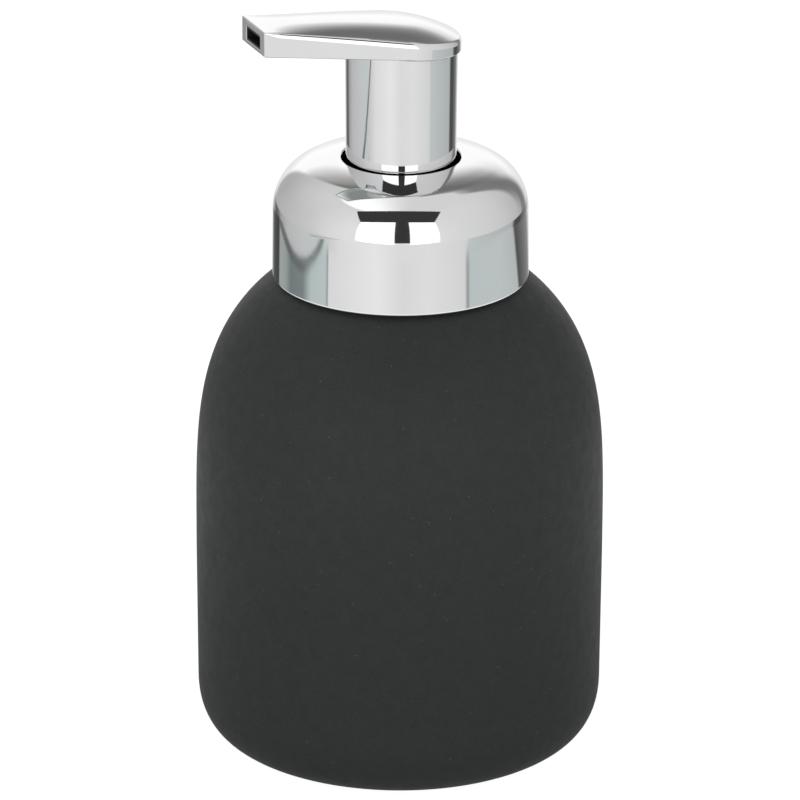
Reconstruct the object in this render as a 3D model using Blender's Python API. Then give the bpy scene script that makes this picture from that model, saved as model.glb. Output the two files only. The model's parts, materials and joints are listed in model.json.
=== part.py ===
"""Foaming soap dispenser: a ceramic bottle with a screw-on foam pump.

Lengths in this file are millimetres; a mesh turns them into metres when it is made.
+Z is up, the origin is on the axis at the foot of the bottle, the spout points along -Y.
Every turned piece shares that axis, which is also the axis of all the joints.
"""
import math

import bmesh
import bpy

MM = 0.001
GAP = 0.3                  # clearance between pieces that touch

# Bottle
BODY_R = 40.2
BODY_TAPER = 0.15          # the wall is this much narrower where it meets the bottom edge
BODY_WALL = 4.5
FOOT_R = 30.4              # outer edge of the flat foot ring
FOOT_RING_R = 26.0         # inner edge of the foot ring
FOOT_RECESS = 1.2
FOOT_RISE = 11.9           # height of the rounded bottom edge
FOOT_POWER = 2.4           # its fullness; 2 is an ellipse
FLOOR_Z = 5.5
WAIST_Z = 38.1             # the straight wall ends here and the shoulder starts
SHOULDER_RISE = 65.3       # height at which the shoulder curve would reach the axis
SHOULDER_POWER = 4.04
SHOULDER_ROUND = 1.718
MOUTH_R = 18.5
LAND_Z = 97.0              # flat top of the mouth

# Collar shell
COLLAR_Z = 95.8
COLLAR_R = 25.0
COLLAR_HEIGHT = 24.0       # up to the edge of the hole
COLLAR_DRAFT = 0.13
COLLAR_SHOULDER_R = 9.5
COLLAR_CROWN_R = 29.0      # the flatter arc from the shoulder to the hole
COLLAR_CROWN_ANGLE = 75.0  # where it takes over from the shoulder
COLLAR_HOLE_R = 11.6
COLLAR_WALL = 0.6
COLLAR_LIP_Z = COLLAR_Z + COLLAR_HEIGHT - 1.4

# Screw thread of the 40 mm neck
NECK_BORE_R = 16.6
NECK_R = 18.9
NECK_TOP_Z = LAND_Z + 11.5
THREAD_PITCH = 4.0
THREAD_DEPTH = 1.1
THREAD_TURNS = 1.9
THREAD_FIRST_Z = LAND_Z + 2.5
THREAD_FADE = 0.12         # length of the thread's run-out and of its seam slot, in turns
THREAD_ROOT = 0.75         # half the ridge's width at its root
THREAD_CREST = 0.3         # half the ridge's width at its crest

# Stack on top of the neck
GASKET_H = 1.2
FLANGE_Z = NECK_TOP_Z + GASKET_H + 2 * GAP
FLANGE_H = 1.5
LID_Z = FLANGE_Z + FLANGE_H + GAP
LID_H = 1.2
LID_HOLE_R = 11.3
PLATE_Z = LID_Z + LID_H + GAP
PLATE_H = 1.6
CAP_R = 22.4
CAP_RIB_R = 23.9

# Pump housing
AIR_R = 14.6               # bore of the air cylinder
AIR_WALL = 1.2
AIR_FLOOR_Z = 84.0
LIQUID_R = 5.0             # bore of the liquid cylinder
LIQUID_WALL = 1.1
VALVE_Z = 46.5             # edge of the inlet valve's seat
SOCKET_R = 3.3             # bore of the dip tube's socket
SOCKET_Z = 36.0
TUBE_R = 3.0
TUBE_BORE_R = 2.2
TUBE_Z = 7.5
TUBE_SLANT = 2.5

# Check balls
BALL_R = 2.0
SEAT_R = 1.4               # bore under a seat, which opens at 45 degrees
BALL_RISE = 1.9            # ball centre above the seat's edge, ball at rest

# Spring
SPRING_R = 4.0
SPRING_WIRE_R = 0.4
SPRING_Z = 53.8
SPRING_TOP_Z = 79.6
SPRING_TURNS = 7.5
SPRING_DEAD_TURNS = 1.0
SPRING_DEAD_PITCH = 0.95

# Pistons and stem
PISTON_Z = 80.0
STEM_R = 3.9
STEM_BORE_R = 1.9
STEM_SPIGOT_R = 2.9
OUTLET_VALVE_Z = 113.0
STEM_TOP_Z = 119.5
AIR_PISTON_Z = 102.5

# Sleeve
SLEEVE_Z = 117.8
SLEEVE_R = 10.75           # at its lower end
SLEEVE_TOP_R = 10.93
SLEEVE_WALL = 0.8

# Head: its plan is a circle on the axis and a straight tip, joined by two tangents
HEAD_Z = 142.5             # underside on the axis
HEAD_R = 11.6
SPOUT_REACH = 30.5
TIP_HALF_WIDTH = 5.95
UNDER_SLOPE = math.tan(math.radians(4.85))
CREASE_SLOPE = math.tan(math.radians(8.3))
SIDE_HEIGHT = 3.1          # side wall on the axis
CROWN = 2.3                # rise of the domed top over the crease
HEAD_WALL = 0.9
OUTLET_W = 7.3
OUTLET_H = 2.8
OUTLET_SILL = 0.8          # outlet's lower edge above the underside
DUCT_W = 6.9
DUCT_LOW = 1.0             # duct's underside and top above the head's underside
DUCT_HIGH = 3.3
DUCT_WALL = 0.45
BOSS_R = 6.9
BOSS_BORE_R = 6.0
BOSS_Z = 116.5
BOSS_RISE = 2.7            # top of the boss above the head's underside
SIDE_ANGLE = (math.atan2(-SPOUT_REACH, TIP_HALF_WIDTH)
              + math.acos(HEAD_R / math.hypot(SPOUT_REACH, TIP_HALF_WIDTH)))

# Columns around a turned piece
OUTER_COLUMNS = 40
INNER_COLUMNS = 24
SMALL_COLUMNS = 16

# Finish: base colour, roughness, metallic
STONEWARE = ((0.042, 0.042, 0.041), 0.62, 0.0)
CHROME = ((0.83, 0.84, 0.84), 0.06, 1.0)
STEEL = ((0.62, 0.61, 0.59), 0.25, 1.0)
NATURAL = ((0.78, 0.78, 0.74), 0.42, 0.0)
BLACK = ((0.02, 0.02, 0.02), 0.4, 0.0)
RUBBER = ((0.55, 0.56, 0.56), 0.7, 0.0)


# ---------------------------------------------------------------- scene helpers

def clear_scene():
    for item in list(bpy.data.objects):
        bpy.data.objects.remove(item, do_unlink=True)


def make_unit(name, z):
    """An empty on the axis that carries the pieces of one rigid unit."""
    unit = bpy.data.objects.new(name, None)
    unit.empty_display_size = 0.01
    unit.location = (0.0, 0.0, z * MM)
    bpy.context.scene.collection.objects.link(unit)
    return unit


def make_material(name, finish):
    colour, roughness, metallic = finish
    material = bpy.data.materials.new(name)
    material.use_nodes = True
    shader = material.node_tree.nodes["Principled BSDF"]
    shader.inputs["Base Color"].default_value = (*colour, 1.0)
    shader.inputs["Roughness"].default_value = roughness
    shader.inputs["Metallic"].default_value = metallic
    return material


def add_piece(name, unit, mesh, finish, smooth_angle=35.0):
    """Make the object of a bmesh given in millimetres, with its origin at the unit's."""
    bmesh.ops.recalc_face_normals(mesh, faces=mesh.faces)
    bmesh.ops.scale(mesh, vec=(MM, MM, MM), verts=mesh.verts)
    bmesh.ops.translate(mesh, vec=-unit.location, verts=mesh.verts)
    data = bpy.data.meshes.new(name)
    mesh.to_mesh(data)
    mesh.free()
    data.shade_smooth()
    data.set_sharp_from_angle(angle=math.radians(smooth_angle))
    return link_piece(name, unit, data, finish)


def link_piece(name, unit, data, finish):
    data.materials.append(make_material(name, finish))
    piece = bpy.data.objects.new(name, data)
    piece.parent = unit
    bpy.context.scene.collection.objects.link(piece)
    return piece


def make_cutter(name, unit, mesh):
    cutter = add_piece(name, unit, mesh, BLACK)
    cutter.hide_render = True
    cutter.display_type = "WIRE"
    return cutter


def add_boolean(piece, operation, other):
    modifier = piece.modifiers.new(other.name, "BOOLEAN")
    modifier.operation = operation
    modifier.solver = "EXACT"
    modifier.object = other


# ------------------------------------------------------------- outline helpers

def arc(centre_r, centre_z, radius_r, radius_z, start, stop, steps):
    """Points of an elliptical arc in the (r, z) plane, angles in degrees."""
    points = []
    for step in range(steps + 1):
        angle = math.radians(start + (stop - start) * step / steps)
        points.append((centre_r + radius_r * math.cos(angle), centre_z + radius_z * math.sin(angle)))
    return points


def turned_mesh(outline_at, columns):
    """Turn a closed (r, z) outline about the axis.

    outline_at(column) gives the outline there; all have the same number of points.
    Points on the axis become single vertices.
    """
    mesh = bmesh.new()
    outlines = [outline_at(column) for column in range(columns)]
    rings = []
    for index, (first_r, first_z) in enumerate(outlines[0]):
        if first_r < 1e-6:
            rings.append([mesh.verts.new((0.0, 0.0, first_z))])
            continue
        ring = []
        for column, outline in enumerate(outlines):
            r, z = outline[index]
            angle = 2 * math.pi * column / columns
            ring.append(mesh.verts.new((r * math.cos(angle), r * math.sin(angle), z)))
        rings.append(ring)
    for ring, following in zip(rings, rings[1:] + rings[:1]):
        join_rings(mesh, ring, following)
    return mesh


def join_rings(mesh, ring, following):
    """Bridge two rings of vertices; a ring of one vertex gives a fan."""
    columns = max(len(ring), len(following))
    if columns == 1:
        return
    for column in range(columns):
        after = (column + 1) % columns
        corners = [ring[column % len(ring)], ring[after % len(ring)],
                   following[after % len(following)], following[column % len(following)]]
        mesh.faces.new(list(dict.fromkeys(corners)))


def turned_piece(name, unit, outline, columns, finish):
    """A turned piece with the same outline all round."""
    return add_piece(name, unit, turned_mesh(lambda column: outline, columns), finish)


def under_height(y):
    """Height of the head's underside, which rises towards the tip."""
    return HEAD_Z - UNDER_SLOPE * y


def thread_ridge(column, columns, base_r, depth, first_z):
    """The ridge points met by one column of a right-hand thread, bottom to top.

    Two windings cross each column. The ridge fades out at both ends of the thread and
    at its seam, a vertical slot that lets air pass.
    """
    part = column / columns
    points = []
    for winding in range(2):
        turn = part + winding
        reach = min(part, 1.0 - part, turn, max(0.0, THREAD_TURNS - turn)) / THREAD_FADE
        crest_r = base_r + depth * min(1.0, reach)
        centre = first_z + THREAD_PITCH * turn
        points += [(base_r, centre - THREAD_ROOT), (crest_r, centre - THREAD_CREST),
                   (crest_r, centre + THREAD_CREST), (base_r, centre + THREAD_ROOT)]
    return points


# ---------------------------------------------------------------------- bottle

def shoulder_points(radius, rise, lowest_r, steps):
    """The bottle's shoulder, from the straight wall up to where its radius is lowest_r."""
    top = (1.0 - (lowest_r / radius) ** SHOULDER_ROUND) ** (1.0 / SHOULDER_POWER)
    points = []
    for step in range(steps + 1):
        share = top * math.sin(0.5 * math.pi * step / steps)
        r = radius * (1.0 - share ** SHOULDER_POWER) ** (1.0 / SHOULDER_ROUND)
        points.append((r, WAIST_Z + rise * share))
    return points


def foot_points(radius, base_z, steps):
    """The rounded bottom edge, from the flat foot out to the wall of this radius."""
    corner = BODY_R - BODY_TAPER - FOOT_R
    points = []
    for step in range(steps + 1):
        angle = 0.5 * math.pi * step / steps
        inwards = 1.0 - math.sin(angle) ** (2.0 / FOOT_POWER)
        rise = 1.0 - max(0.0, math.cos(angle)) ** (2.0 / FOOT_POWER)
        points.append((radius - corner * inwards, base_z + FOOT_RISE * rise))
    return points


def make_bottle(unit):
    inner_r = BODY_R - BODY_WALL
    land_share = (LAND_Z - WAIST_Z) / SHOULDER_RISE
    land_r = BODY_R * (1.0 - land_share ** SHOULDER_POWER) ** (1.0 / SHOULDER_ROUND)
    outline = [(0.0, FOOT_RECESS), (FOOT_RING_R - 1.0, FOOT_RECESS), (FOOT_RING_R, 0.0)]
    outline += foot_points(BODY_R - BODY_TAPER, 0.0, 6)
    outline += shoulder_points(BODY_R, SHOULDER_RISE, land_r, 11)
    inside = shoulder_points(inner_r, SHOULDER_RISE - BODY_WALL, MOUTH_R, 7)
    outline += [(MOUTH_R, LAND_Z)] + inside[::-1]
    outline += foot_points(inner_r - BODY_TAPER, FLOOR_Z, 4)[::-1]
    outline += [(0.0, FLOOR_Z)]
    turned_piece("bottle", unit, outline, OUTER_COLUMNS, STONEWARE)


def make_neck_insert(unit):
    flange_z = LAND_Z + GAP
    sleeve_r = MOUTH_R - GAP

    def outline_at(column):
        ridge = thread_ridge(column, OUTER_COLUMNS, NECK_R, THREAD_DEPTH, THREAD_FIRST_Z)
        return ([(NECK_BORE_R, LAND_Z - 6.5), (sleeve_r, LAND_Z - 6.5), (sleeve_r, flange_z),
                 (21.2, flange_z), (21.2, flange_z + 1.2), (NECK_R, flange_z + 1.2)]
                + ridge + [(NECK_R, NECK_TOP_Z), (NECK_BORE_R, NECK_TOP_Z)])

    add_piece("neck_insert", unit, turned_mesh(outline_at, OUTER_COLUMNS), NATURAL)


# ---------------------------------------------------------------------- collar

def dome_points(inset, last_r, shoulder_steps, crown_steps):
    """The collar's dome from its wall in to where the radius is last_r, moved inwards by inset."""
    shoulder_centre_r = COLLAR_R - COLLAR_DRAFT - COLLAR_SHOULDER_R
    extra_r = COLLAR_CROWN_R - COLLAR_SHOULDER_R
    turn = math.radians(COLLAR_CROWN_ANGLE)
    crown_centre_r = shoulder_centre_r - extra_r * math.cos(turn)
    hole_angle = math.acos((COLLAR_HOLE_R - crown_centre_r) / COLLAR_CROWN_R)
    crown_centre_z = COLLAR_Z + COLLAR_HEIGHT - COLLAR_CROWN_R * math.sin(hole_angle)
    shoulder_centre_z = crown_centre_z + extra_r * math.sin(turn)
    shoulder_r = COLLAR_SHOULDER_R - inset
    crown_r = COLLAR_CROWN_R - inset
    last_angle = math.degrees(math.acos((last_r - crown_centre_r) / crown_r))
    points = arc(shoulder_centre_r, shoulder_centre_z, shoulder_r, shoulder_r,
                 0, COLLAR_CROWN_ANGLE, shoulder_steps)
    return points + arc(crown_centre_r, crown_centre_z, crown_r, crown_r,
                        COLLAR_CROWN_ANGLE, last_angle, crown_steps)[1:]


def make_collar_shell(unit):
    """The dome: a shoulder arc, a flatter crown arc up to the hole, and the hole's turned-down lip."""
    top_z = COLLAR_Z + COLLAR_HEIGHT
    edge = 0.3
    lip_r = COLLAR_HOLE_R + COLLAR_WALL
    outline = [(COLLAR_R - COLLAR_WALL, COLLAR_Z), (COLLAR_R - 0.2, COLLAR_Z), (COLLAR_R, COLLAR_Z + 0.2)]
    outline += dome_points(0.0, COLLAR_HOLE_R + edge, 7, 3)
    outline += [(COLLAR_HOLE_R, top_z - edge), (COLLAR_HOLE_R, COLLAR_LIP_Z), (lip_r, COLLAR_LIP_Z)]
    outline += dome_points(COLLAR_WALL, lip_r, 5, 2)[::-1]
    turned_piece("collar_shell", unit, outline, OUTER_COLUMNS, CHROME)


def make_screw_cap(unit):
    hole_r = LID_HOLE_R + 1.3
    root_r = NECK_R + THREAD_DEPTH + GAP
    foot_z = LAND_Z + 1.9
    top_z = PLATE_Z + PLATE_H
    rib_top_z = foot_z + 9.0

    def outline_at(column):
        outer_r = CAP_RIB_R if column % 4 == 0 else CAP_R
        ridge = thread_ridge(column, OUTER_COLUMNS, root_r, -THREAD_DEPTH + 0.05,
                             THREAD_FIRST_Z + THREAD_PITCH / 2)
        return ([(root_r, foot_z), (outer_r, foot_z), (outer_r, rib_top_z), (CAP_R, rib_top_z + 1.0),
                 (CAP_R, top_z - 1.2), (CAP_R - 1.2, top_z), (hole_r, top_z), (hole_r, PLATE_Z),
                 (root_r, PLATE_Z)] + ridge[::-1])

    add_piece("screw_cap", unit, turned_mesh(outline_at, OUTER_COLUMNS), BLACK)


# ------------------------------------------------------------------- pump unit

def make_neck_gasket(unit):
    low = NECK_TOP_Z + GAP
    outline = [(NECK_BORE_R, low), (NECK_R - 0.1, low), (NECK_R - 0.1, low + GASKET_H),
               (NECK_BORE_R, low + GASKET_H)]
    turned_piece("neck_gasket", unit, outline, INNER_COLUMNS, RUBBER)


def make_air_cylinder(unit):
    outer_r = AIR_R + AIR_WALL
    liquid_outer_r = LIQUID_R + LIQUID_WALL
    top_z = FLANGE_Z + FLANGE_H
    seat_top_r = SEAT_R + 2.0
    outline = [
        (AIR_R, top_z), (NECK_R, top_z), (NECK_R, FLANGE_Z), (outer_r, FLANGE_Z),
        (outer_r, AIR_FLOOR_Z), (outer_r - 1.2, AIR_FLOOR_Z - 1.2),
        (liquid_outer_r + 1.0, AIR_FLOOR_Z - 1.2), (liquid_outer_r, AIR_FLOOR_Z - 2.2),
        (liquid_outer_r, VALVE_Z), (SOCKET_R + 1.0, VALVE_Z - 2.0), (SOCKET_R + 1.0, SOCKET_Z),
        (SOCKET_R, SOCKET_Z), (SOCKET_R, VALVE_Z - 2.5), (SEAT_R, VALVE_Z - 2.0),
        (SEAT_R, VALVE_Z), (seat_top_r, VALVE_Z + 2.0), (LIQUID_R, VALVE_Z + 2.0),
        (LIQUID_R, AIR_FLOOR_Z), (AIR_R, AIR_FLOOR_Z)]
    turned_piece("air_cylinder", unit, outline, INNER_COLUMNS, NATURAL)


def make_cylinder_lid(unit):
    plug_r = AIR_R - GAP
    top_z = LID_Z + LID_H
    outline = [
        (LID_HOLE_R, LID_Z), (plug_r - 1.0, LID_Z), (plug_r - 1.0, LID_Z - 1.1), (plug_r, LID_Z - 1.1),
        (plug_r, LID_Z), (NECK_R, LID_Z), (NECK_R, top_z), (LID_HOLE_R + 1.0, top_z),
        (LID_HOLE_R + 1.0, top_z + 3.2), (LID_HOLE_R, top_z + 3.2)]
    turned_piece("cylinder_lid", unit, outline, INNER_COLUMNS, BLACK)


def make_dip_tube(unit):
    top_z = VALVE_Z - 2.5 - GAP

    def outline_at(column):
        cut_z = TUBE_Z + 0.5 * TUBE_SLANT * (1.0 - math.cos(2 * math.pi * column / SMALL_COLUMNS))
        return [(TUBE_BORE_R, cut_z), (TUBE_R, cut_z), (TUBE_R, top_z), (TUBE_BORE_R, top_z)]

    add_piece("dip_tube", unit, turned_mesh(outline_at, SMALL_COLUMNS), NATURAL)


def make_spring_seat(unit):
    low = VALVE_Z + 2.0 + GAP
    high = SPRING_Z - GAP
    lip_z = high - 1.1
    outer_r = LIQUID_R - GAP
    cage_r = BALL_R + 1.0
    outline = [(cage_r, low), (outer_r, low), (outer_r, high), (1.2, high), (1.2, lip_z), (cage_r, lip_z)]
    turned_piece("spring_seat", unit, outline, SMALL_COLUMNS, NATURAL)


def spring_height(turn):
    """Height of the wire's centre after so many turns: close end coils, open middle."""
    low = SPRING_Z + SPRING_WIRE_R
    high = SPRING_TOP_Z - SPRING_WIRE_R
    dead = SPRING_DEAD_TURNS * SPRING_DEAD_PITCH
    active_turns = SPRING_TURNS - 2 * SPRING_DEAD_TURNS
    if turn < SPRING_DEAD_TURNS:
        return low + SPRING_DEAD_PITCH * turn
    if turn > SPRING_TURNS - SPRING_DEAD_TURNS:
        return high - SPRING_DEAD_PITCH * (SPRING_TURNS - turn)
    share = (turn - SPRING_DEAD_TURNS) / active_turns
    return low + dead + share * (high - low - 2 * dead)


def make_return_spring(unit):
    steps_per_turn = 12
    count = int(SPRING_TURNS * steps_per_turn) + 1
    curve = bpy.data.curves.new("return_spring", "CURVE")
    curve.dimensions = "3D"
    curve.twist_mode = "Z_UP"
    curve.bevel_depth = SPRING_WIRE_R * MM
    curve.bevel_resolution = 1
    curve.use_fill_caps = True
    spline = curve.splines.new("POLY")
    spline.points.add(count - 1)
    for index, point in enumerate(spline.points):
        turn = index / steps_per_turn
        angle = 2 * math.pi * turn
        point.co = (SPRING_R * MM * math.cos(angle), SPRING_R * MM * math.sin(angle),
                    spring_height(turn) * MM - unit.location.z, 1.0)
    link_piece("return_spring", unit, curve, STEEL)


def make_ball(name, parent, seat_z):
    """A check ball, resting on the seat whose edge is at seat_z."""
    unit = make_unit(name + "_axis", seat_z + BALL_RISE)
    centre_z = seat_z + BALL_RISE
    outline = arc(0.0, centre_z, BALL_R, BALL_R, -90, 90, 6)
    outline[0] = (0.0, centre_z - BALL_R)
    outline[-1] = (0.0, centre_z + BALL_R)
    turned_piece(name, unit, outline, 12, STEEL)
    unit.location = unit.location - parent.location
    unit.parent = parent


# ------------------------------------------------------------- pistons and stem

def make_air_piston(unit):
    hub_r = STEM_R + GAP
    hub_outer_r = hub_r + 1.2
    web_z = AIR_PISTON_Z + 3.5
    lip_r = AIR_R - GAP
    top_z = AIR_PISTON_Z + 8.0
    outline = [
        (hub_r, AIR_PISTON_Z + 0.5), (hub_r, top_z + 0.5), (hub_outer_r, top_z + 0.5),
        (hub_outer_r, web_z + 1.2), (lip_r - 1.0, web_z + 1.2), (lip_r - 0.4, top_z),
        (lip_r, top_z - 0.2), (lip_r - 0.3, web_z + 0.6), (lip_r, AIR_PISTON_Z + 0.2),
        (lip_r - 0.4, AIR_PISTON_Z), (lip_r - 1.0, web_z), (hub_outer_r, web_z),
        (hub_outer_r, AIR_PISTON_Z + 0.5)]
    turned_piece("air_piston", unit, outline, INNER_COLUMNS, NATURAL)


def make_air_valve(unit):
    low = AIR_PISTON_Z + 3.5 + 1.2 + GAP
    inner_r = STEM_R + GAP + 1.2 + GAP
    outline = [(inner_r, low), (11.5, low), (11.5, low + 0.4), (inner_r + 2.0, low + 0.7),
               (inner_r + 1.2, low + 2.0), (inner_r, low + 2.0)]
    turned_piece("air_valve", unit, outline, INNER_COLUMNS, RUBBER)


def make_liquid_piston(unit):
    inner_r = STEM_SPIGOT_R + GAP
    lip_r = LIQUID_R - GAP
    waist_r = lip_r - 0.5
    outline = [(inner_r, PISTON_Z), (lip_r - 0.2, PISTON_Z), (lip_r, PISTON_Z + 0.6),
               (waist_r, PISTON_Z + 1.4), (waist_r, PISTON_Z + 2.6), (lip_r, PISTON_Z + 3.4),
               (lip_r - 0.2, PISTON_Z + 4.0), (inner_r, PISTON_Z + 4.0)]
    turned_piece("liquid_piston", unit, outline, SMALL_COLUMNS, NATURAL)


def make_stem(unit):
    shoulder_z = PISTON_Z + 4.0 + GAP
    catch_z = AIR_PISTON_Z - 1.5
    flare_z = AIR_PISTON_Z + 8.5 + GAP + 0.2
    chamber_r = BALL_R + 1.0
    chamber_z = OUTLET_VALVE_Z + chamber_r - SEAT_R
    flange_r = BOSS_BORE_R - GAP
    outline = [
        (STEM_BORE_R, PISTON_Z + GAP), (STEM_SPIGOT_R, PISTON_Z + GAP), (STEM_SPIGOT_R, shoulder_z),
        (STEM_R, shoulder_z), (STEM_R, catch_z), (STEM_R + 0.8, catch_z + 0.8),
        (STEM_R + 0.8, catch_z + 1.4), (STEM_R, catch_z + 1.6), (STEM_R, flare_z - 0.2),
        (STEM_R + 0.9, flare_z), (STEM_R + 0.9, STEM_TOP_Z - 1.2), (flange_r, STEM_TOP_Z - 1.0),
        (flange_r, STEM_TOP_Z), (chamber_r, STEM_TOP_Z), (chamber_r, chamber_z),
        (SEAT_R, OUTLET_VALVE_Z), (SEAT_R, OUTLET_VALVE_Z - 1.0), (STEM_BORE_R, OUTLET_VALVE_Z - 1.5)]
    turned_piece("stem", unit, outline, SMALL_COLUMNS, NATURAL)


def make_screen(name, unit, low):
    """A framed mesh disc."""
    frame_r = BOSS_BORE_R - 0.4
    cloth_r = frame_r - 1.0
    outline = [(0.0, low + 0.4), (cloth_r, low + 0.4), (cloth_r, low), (frame_r, low),
               (frame_r, low + 1.1), (cloth_r, low + 1.1), (cloth_r, low + 0.7), (0.0, low + 0.7)]
    turned_piece(name, unit, outline, SMALL_COLUMNS, NATURAL)


def make_foaming_unit(unit):
    """Two screens with the foam chamber between them, stacked on the stem."""
    chamber_z = STEM_TOP_Z + 1.9
    chamber_h = 11.6
    frame_r = BOSS_BORE_R - 0.4
    make_screen("lower_mesh", unit, STEM_TOP_Z + 0.4)
    make_screen("upper_mesh", unit, chamber_z + chamber_h + 0.4)
    outline = [(frame_r - 1.0, chamber_z), (frame_r, chamber_z), (frame_r, chamber_z + chamber_h),
               (frame_r - 1.0, chamber_z + chamber_h)]
    turned_piece("foam_chamber", unit, outline, SMALL_COLUMNS, NATURAL)


# ------------------------------------------------------------------------ head

def make_sleeve(unit):
    """The chrome tube; its upper end is cut to the slope of the head's underside."""
    inner_low = SLEEVE_R - SLEEVE_WALL
    inner_top = SLEEVE_TOP_R - SLEEVE_WALL

    def outline_at(column):
        slope = math.sin(2 * math.pi * column / OUTER_COLUMNS)
        outer_z = under_height(SLEEVE_TOP_R * slope) - GAP
        inner_z = under_height(inner_top * slope) - GAP
        return [(inner_low, SLEEVE_Z), (SLEEVE_R - 0.3, SLEEVE_Z), (SLEEVE_R, SLEEVE_Z + 0.4),
                (SLEEVE_TOP_R, outer_z), (inner_top, inner_z)]

    add_piece("sleeve", unit, turned_mesh(outline_at, OUTER_COLUMNS), CHROME)


def half_width(y, inset):
    """Half the width of the head's plan at y, with the outline moved inwards by inset."""
    radius = HEAD_R - inset
    if y < radius * math.sin(SIDE_ANGLE):
        return (radius - y * math.sin(SIDE_ANGLE)) / math.cos(SIDE_ANGLE)
    return math.sqrt(max(0.0, radius * radius - y * y))


def stations(inset):
    """Positions along the head, from the tip to the rearmost point."""
    side_steps = 6
    arc_steps = 12
    radius = HEAD_R - inset
    tip = inset - SPOUT_REACH
    tangent = radius * math.sin(SIDE_ANGLE)
    along = [tip + (tangent - tip) * step / side_steps for step in range(side_steps)]
    turn = 0.5 * math.pi - SIDE_ANGLE
    return along + [radius * math.sin(SIDE_ANGLE + turn * step / arc_steps)
                    for step in range(arc_steps + 1)]


def top_height(x, y):
    """Height of the domed top: it rises from the crease and dies out at the tip."""
    crease = HEAD_Z + SIDE_HEIGHT - CREASE_SLOPE * y
    if y >= 0.0:
        return crease + CROWN * max(0.0, 1.0 - (x * x + y * y) / HEAD_R ** 2)
    fade = max(0.0, 1.0 - (y / SPOUT_REACH) ** 2)
    return crease + CROWN * fade * max(0.0, 1.0 - (x / half_width(y, 0.0)) ** 2)


def domed_grid(mesh, inset, drop):
    """Grid over the head's plan, drop below its top; returns its border in order."""
    across = 10
    rows = []
    for y in stations(inset)[:-1]:
        width = half_width(y, inset)
        row = []
        for step in range(across + 1):
            x = width * (2.0 * step / across - 1.0)
            row.append(mesh.verts.new((x, y, top_height(x, y) - drop)))
        rows.append(row)
    rear_y = stations(inset)[-1]
    rows.append([mesh.verts.new((0.0, rear_y, top_height(0.0, rear_y) - drop))])
    for row, following in zip(rows, rows[1:]):
        for step in range(across):
            corners = [row[step], row[step + 1], following[min(step + 1, len(following) - 1)],
                       following[min(step, len(following) - 1)]]
            mesh.faces.new(list(dict.fromkeys(corners)))
    left = [row[0] for row in rows[:0:-1]]
    right = [row[-1] for row in rows[1:-1]]
    return left + rows[0] + right


def offset_loop(mesh, loop, height_at):
    """A copy of a loop of vertices, straight below or above it."""
    return [mesh.verts.new((vert.co.x, vert.co.y, height_at(vert.co.x, vert.co.y))) for vert in loop]


def round_loop(mesh, loop, radius, height_at):
    """A circle with one vertex on the ray to each vertex of a loop."""
    ring = []
    for vert in loop:
        angle = math.atan2(vert.co.y, vert.co.x)
        x, y = radius * math.cos(angle), radius * math.sin(angle)
        ring.append(mesh.verts.new((x, y, height_at(x, y))))
    return ring


def box_mesh(width, near_y, far_y, low, high):
    """A duct-shaped box: level across, its ends upright, following the underside's slope."""
    mesh = bmesh.new()
    bmesh.ops.create_cube(mesh, size=1.0)
    for vert in mesh.verts:
        y = near_y if vert.co.y > 0 else far_y
        rise = high if vert.co.z > 0 else low
        vert.co = (vert.co.x * width, y, under_height(y) + rise)
    return mesh


def make_head_cover(unit):
    mesh = bmesh.new()
    outer_top = domed_grid(mesh, 0.0, 0.0)
    inner_top = domed_grid(mesh, HEAD_WALL, HEAD_WALL)
    outer_low = offset_loop(mesh, outer_top, lambda x, y: under_height(y))
    inner_low = offset_loop(mesh, inner_top, lambda x, y: under_height(y))
    join_rings(mesh, outer_top, outer_low)
    join_rings(mesh, outer_low, inner_low)
    join_rings(mesh, inner_low, inner_top)
    cover = add_piece("head_cover", unit, mesh, CHROME)
    outlet = box_mesh(OUTLET_W, 2.0 - SPOUT_REACH, -1.0 - SPOUT_REACH, OUTLET_SILL, OUTLET_SILL + OUTLET_H)
    add_boolean(cover, "DIFFERENCE", make_cutter("outlet_cutter", unit, outlet))


def make_head_base(unit):
    """The plate under the head, with a ring that centres the sleeve."""
    mesh = bmesh.new()
    spigot_r = SLEEVE_R - SLEEVE_WALL - GAP
    spigot_z = HEAD_Z - 4.5
    guide = bmesh.new()
    border = [vert.co.copy() for vert in domed_grid(guide, HEAD_WALL + GAP, 0.0)]
    guide.free()
    low = [mesh.verts.new((co.x, co.y, under_height(co.y) + 0.1)) for co in border]
    rings = [
        round_loop(mesh, low, spigot_r, lambda x, y: under_height(y) + 0.1),
        round_loop(mesh, low, spigot_r, lambda x, y: spigot_z),
        round_loop(mesh, low, spigot_r - 1.0, lambda x, y: spigot_z),
        round_loop(mesh, low, spigot_r - 1.0, lambda x, y: under_height(y) + 0.1),
        round_loop(mesh, low, BOSS_R + GAP, lambda x, y: under_height(y) + 0.1),
        round_loop(mesh, low, BOSS_R + GAP, lambda x, y: under_height(y) + 0.7),
        offset_loop(mesh, low, lambda x, y: under_height(y) + 0.7)]
    for ring, following in zip([low] + rings, rings + [low]):
        join_rings(mesh, ring, following)
    add_piece("head_base", unit, mesh, CHROME)


def boss_mesh(radius, low, rise):
    """A plug on the axis whose top follows the slope of the head's underside."""
    def outline_at(column):
        y = radius * math.sin(2 * math.pi * column / INNER_COLUMNS)
        return [(0.0, low), (radius, low), (radius, under_height(y) + rise), (0.0, under_height(0.0) + rise)]

    return turned_mesh(outline_at, INNER_COLUMNS)


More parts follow.
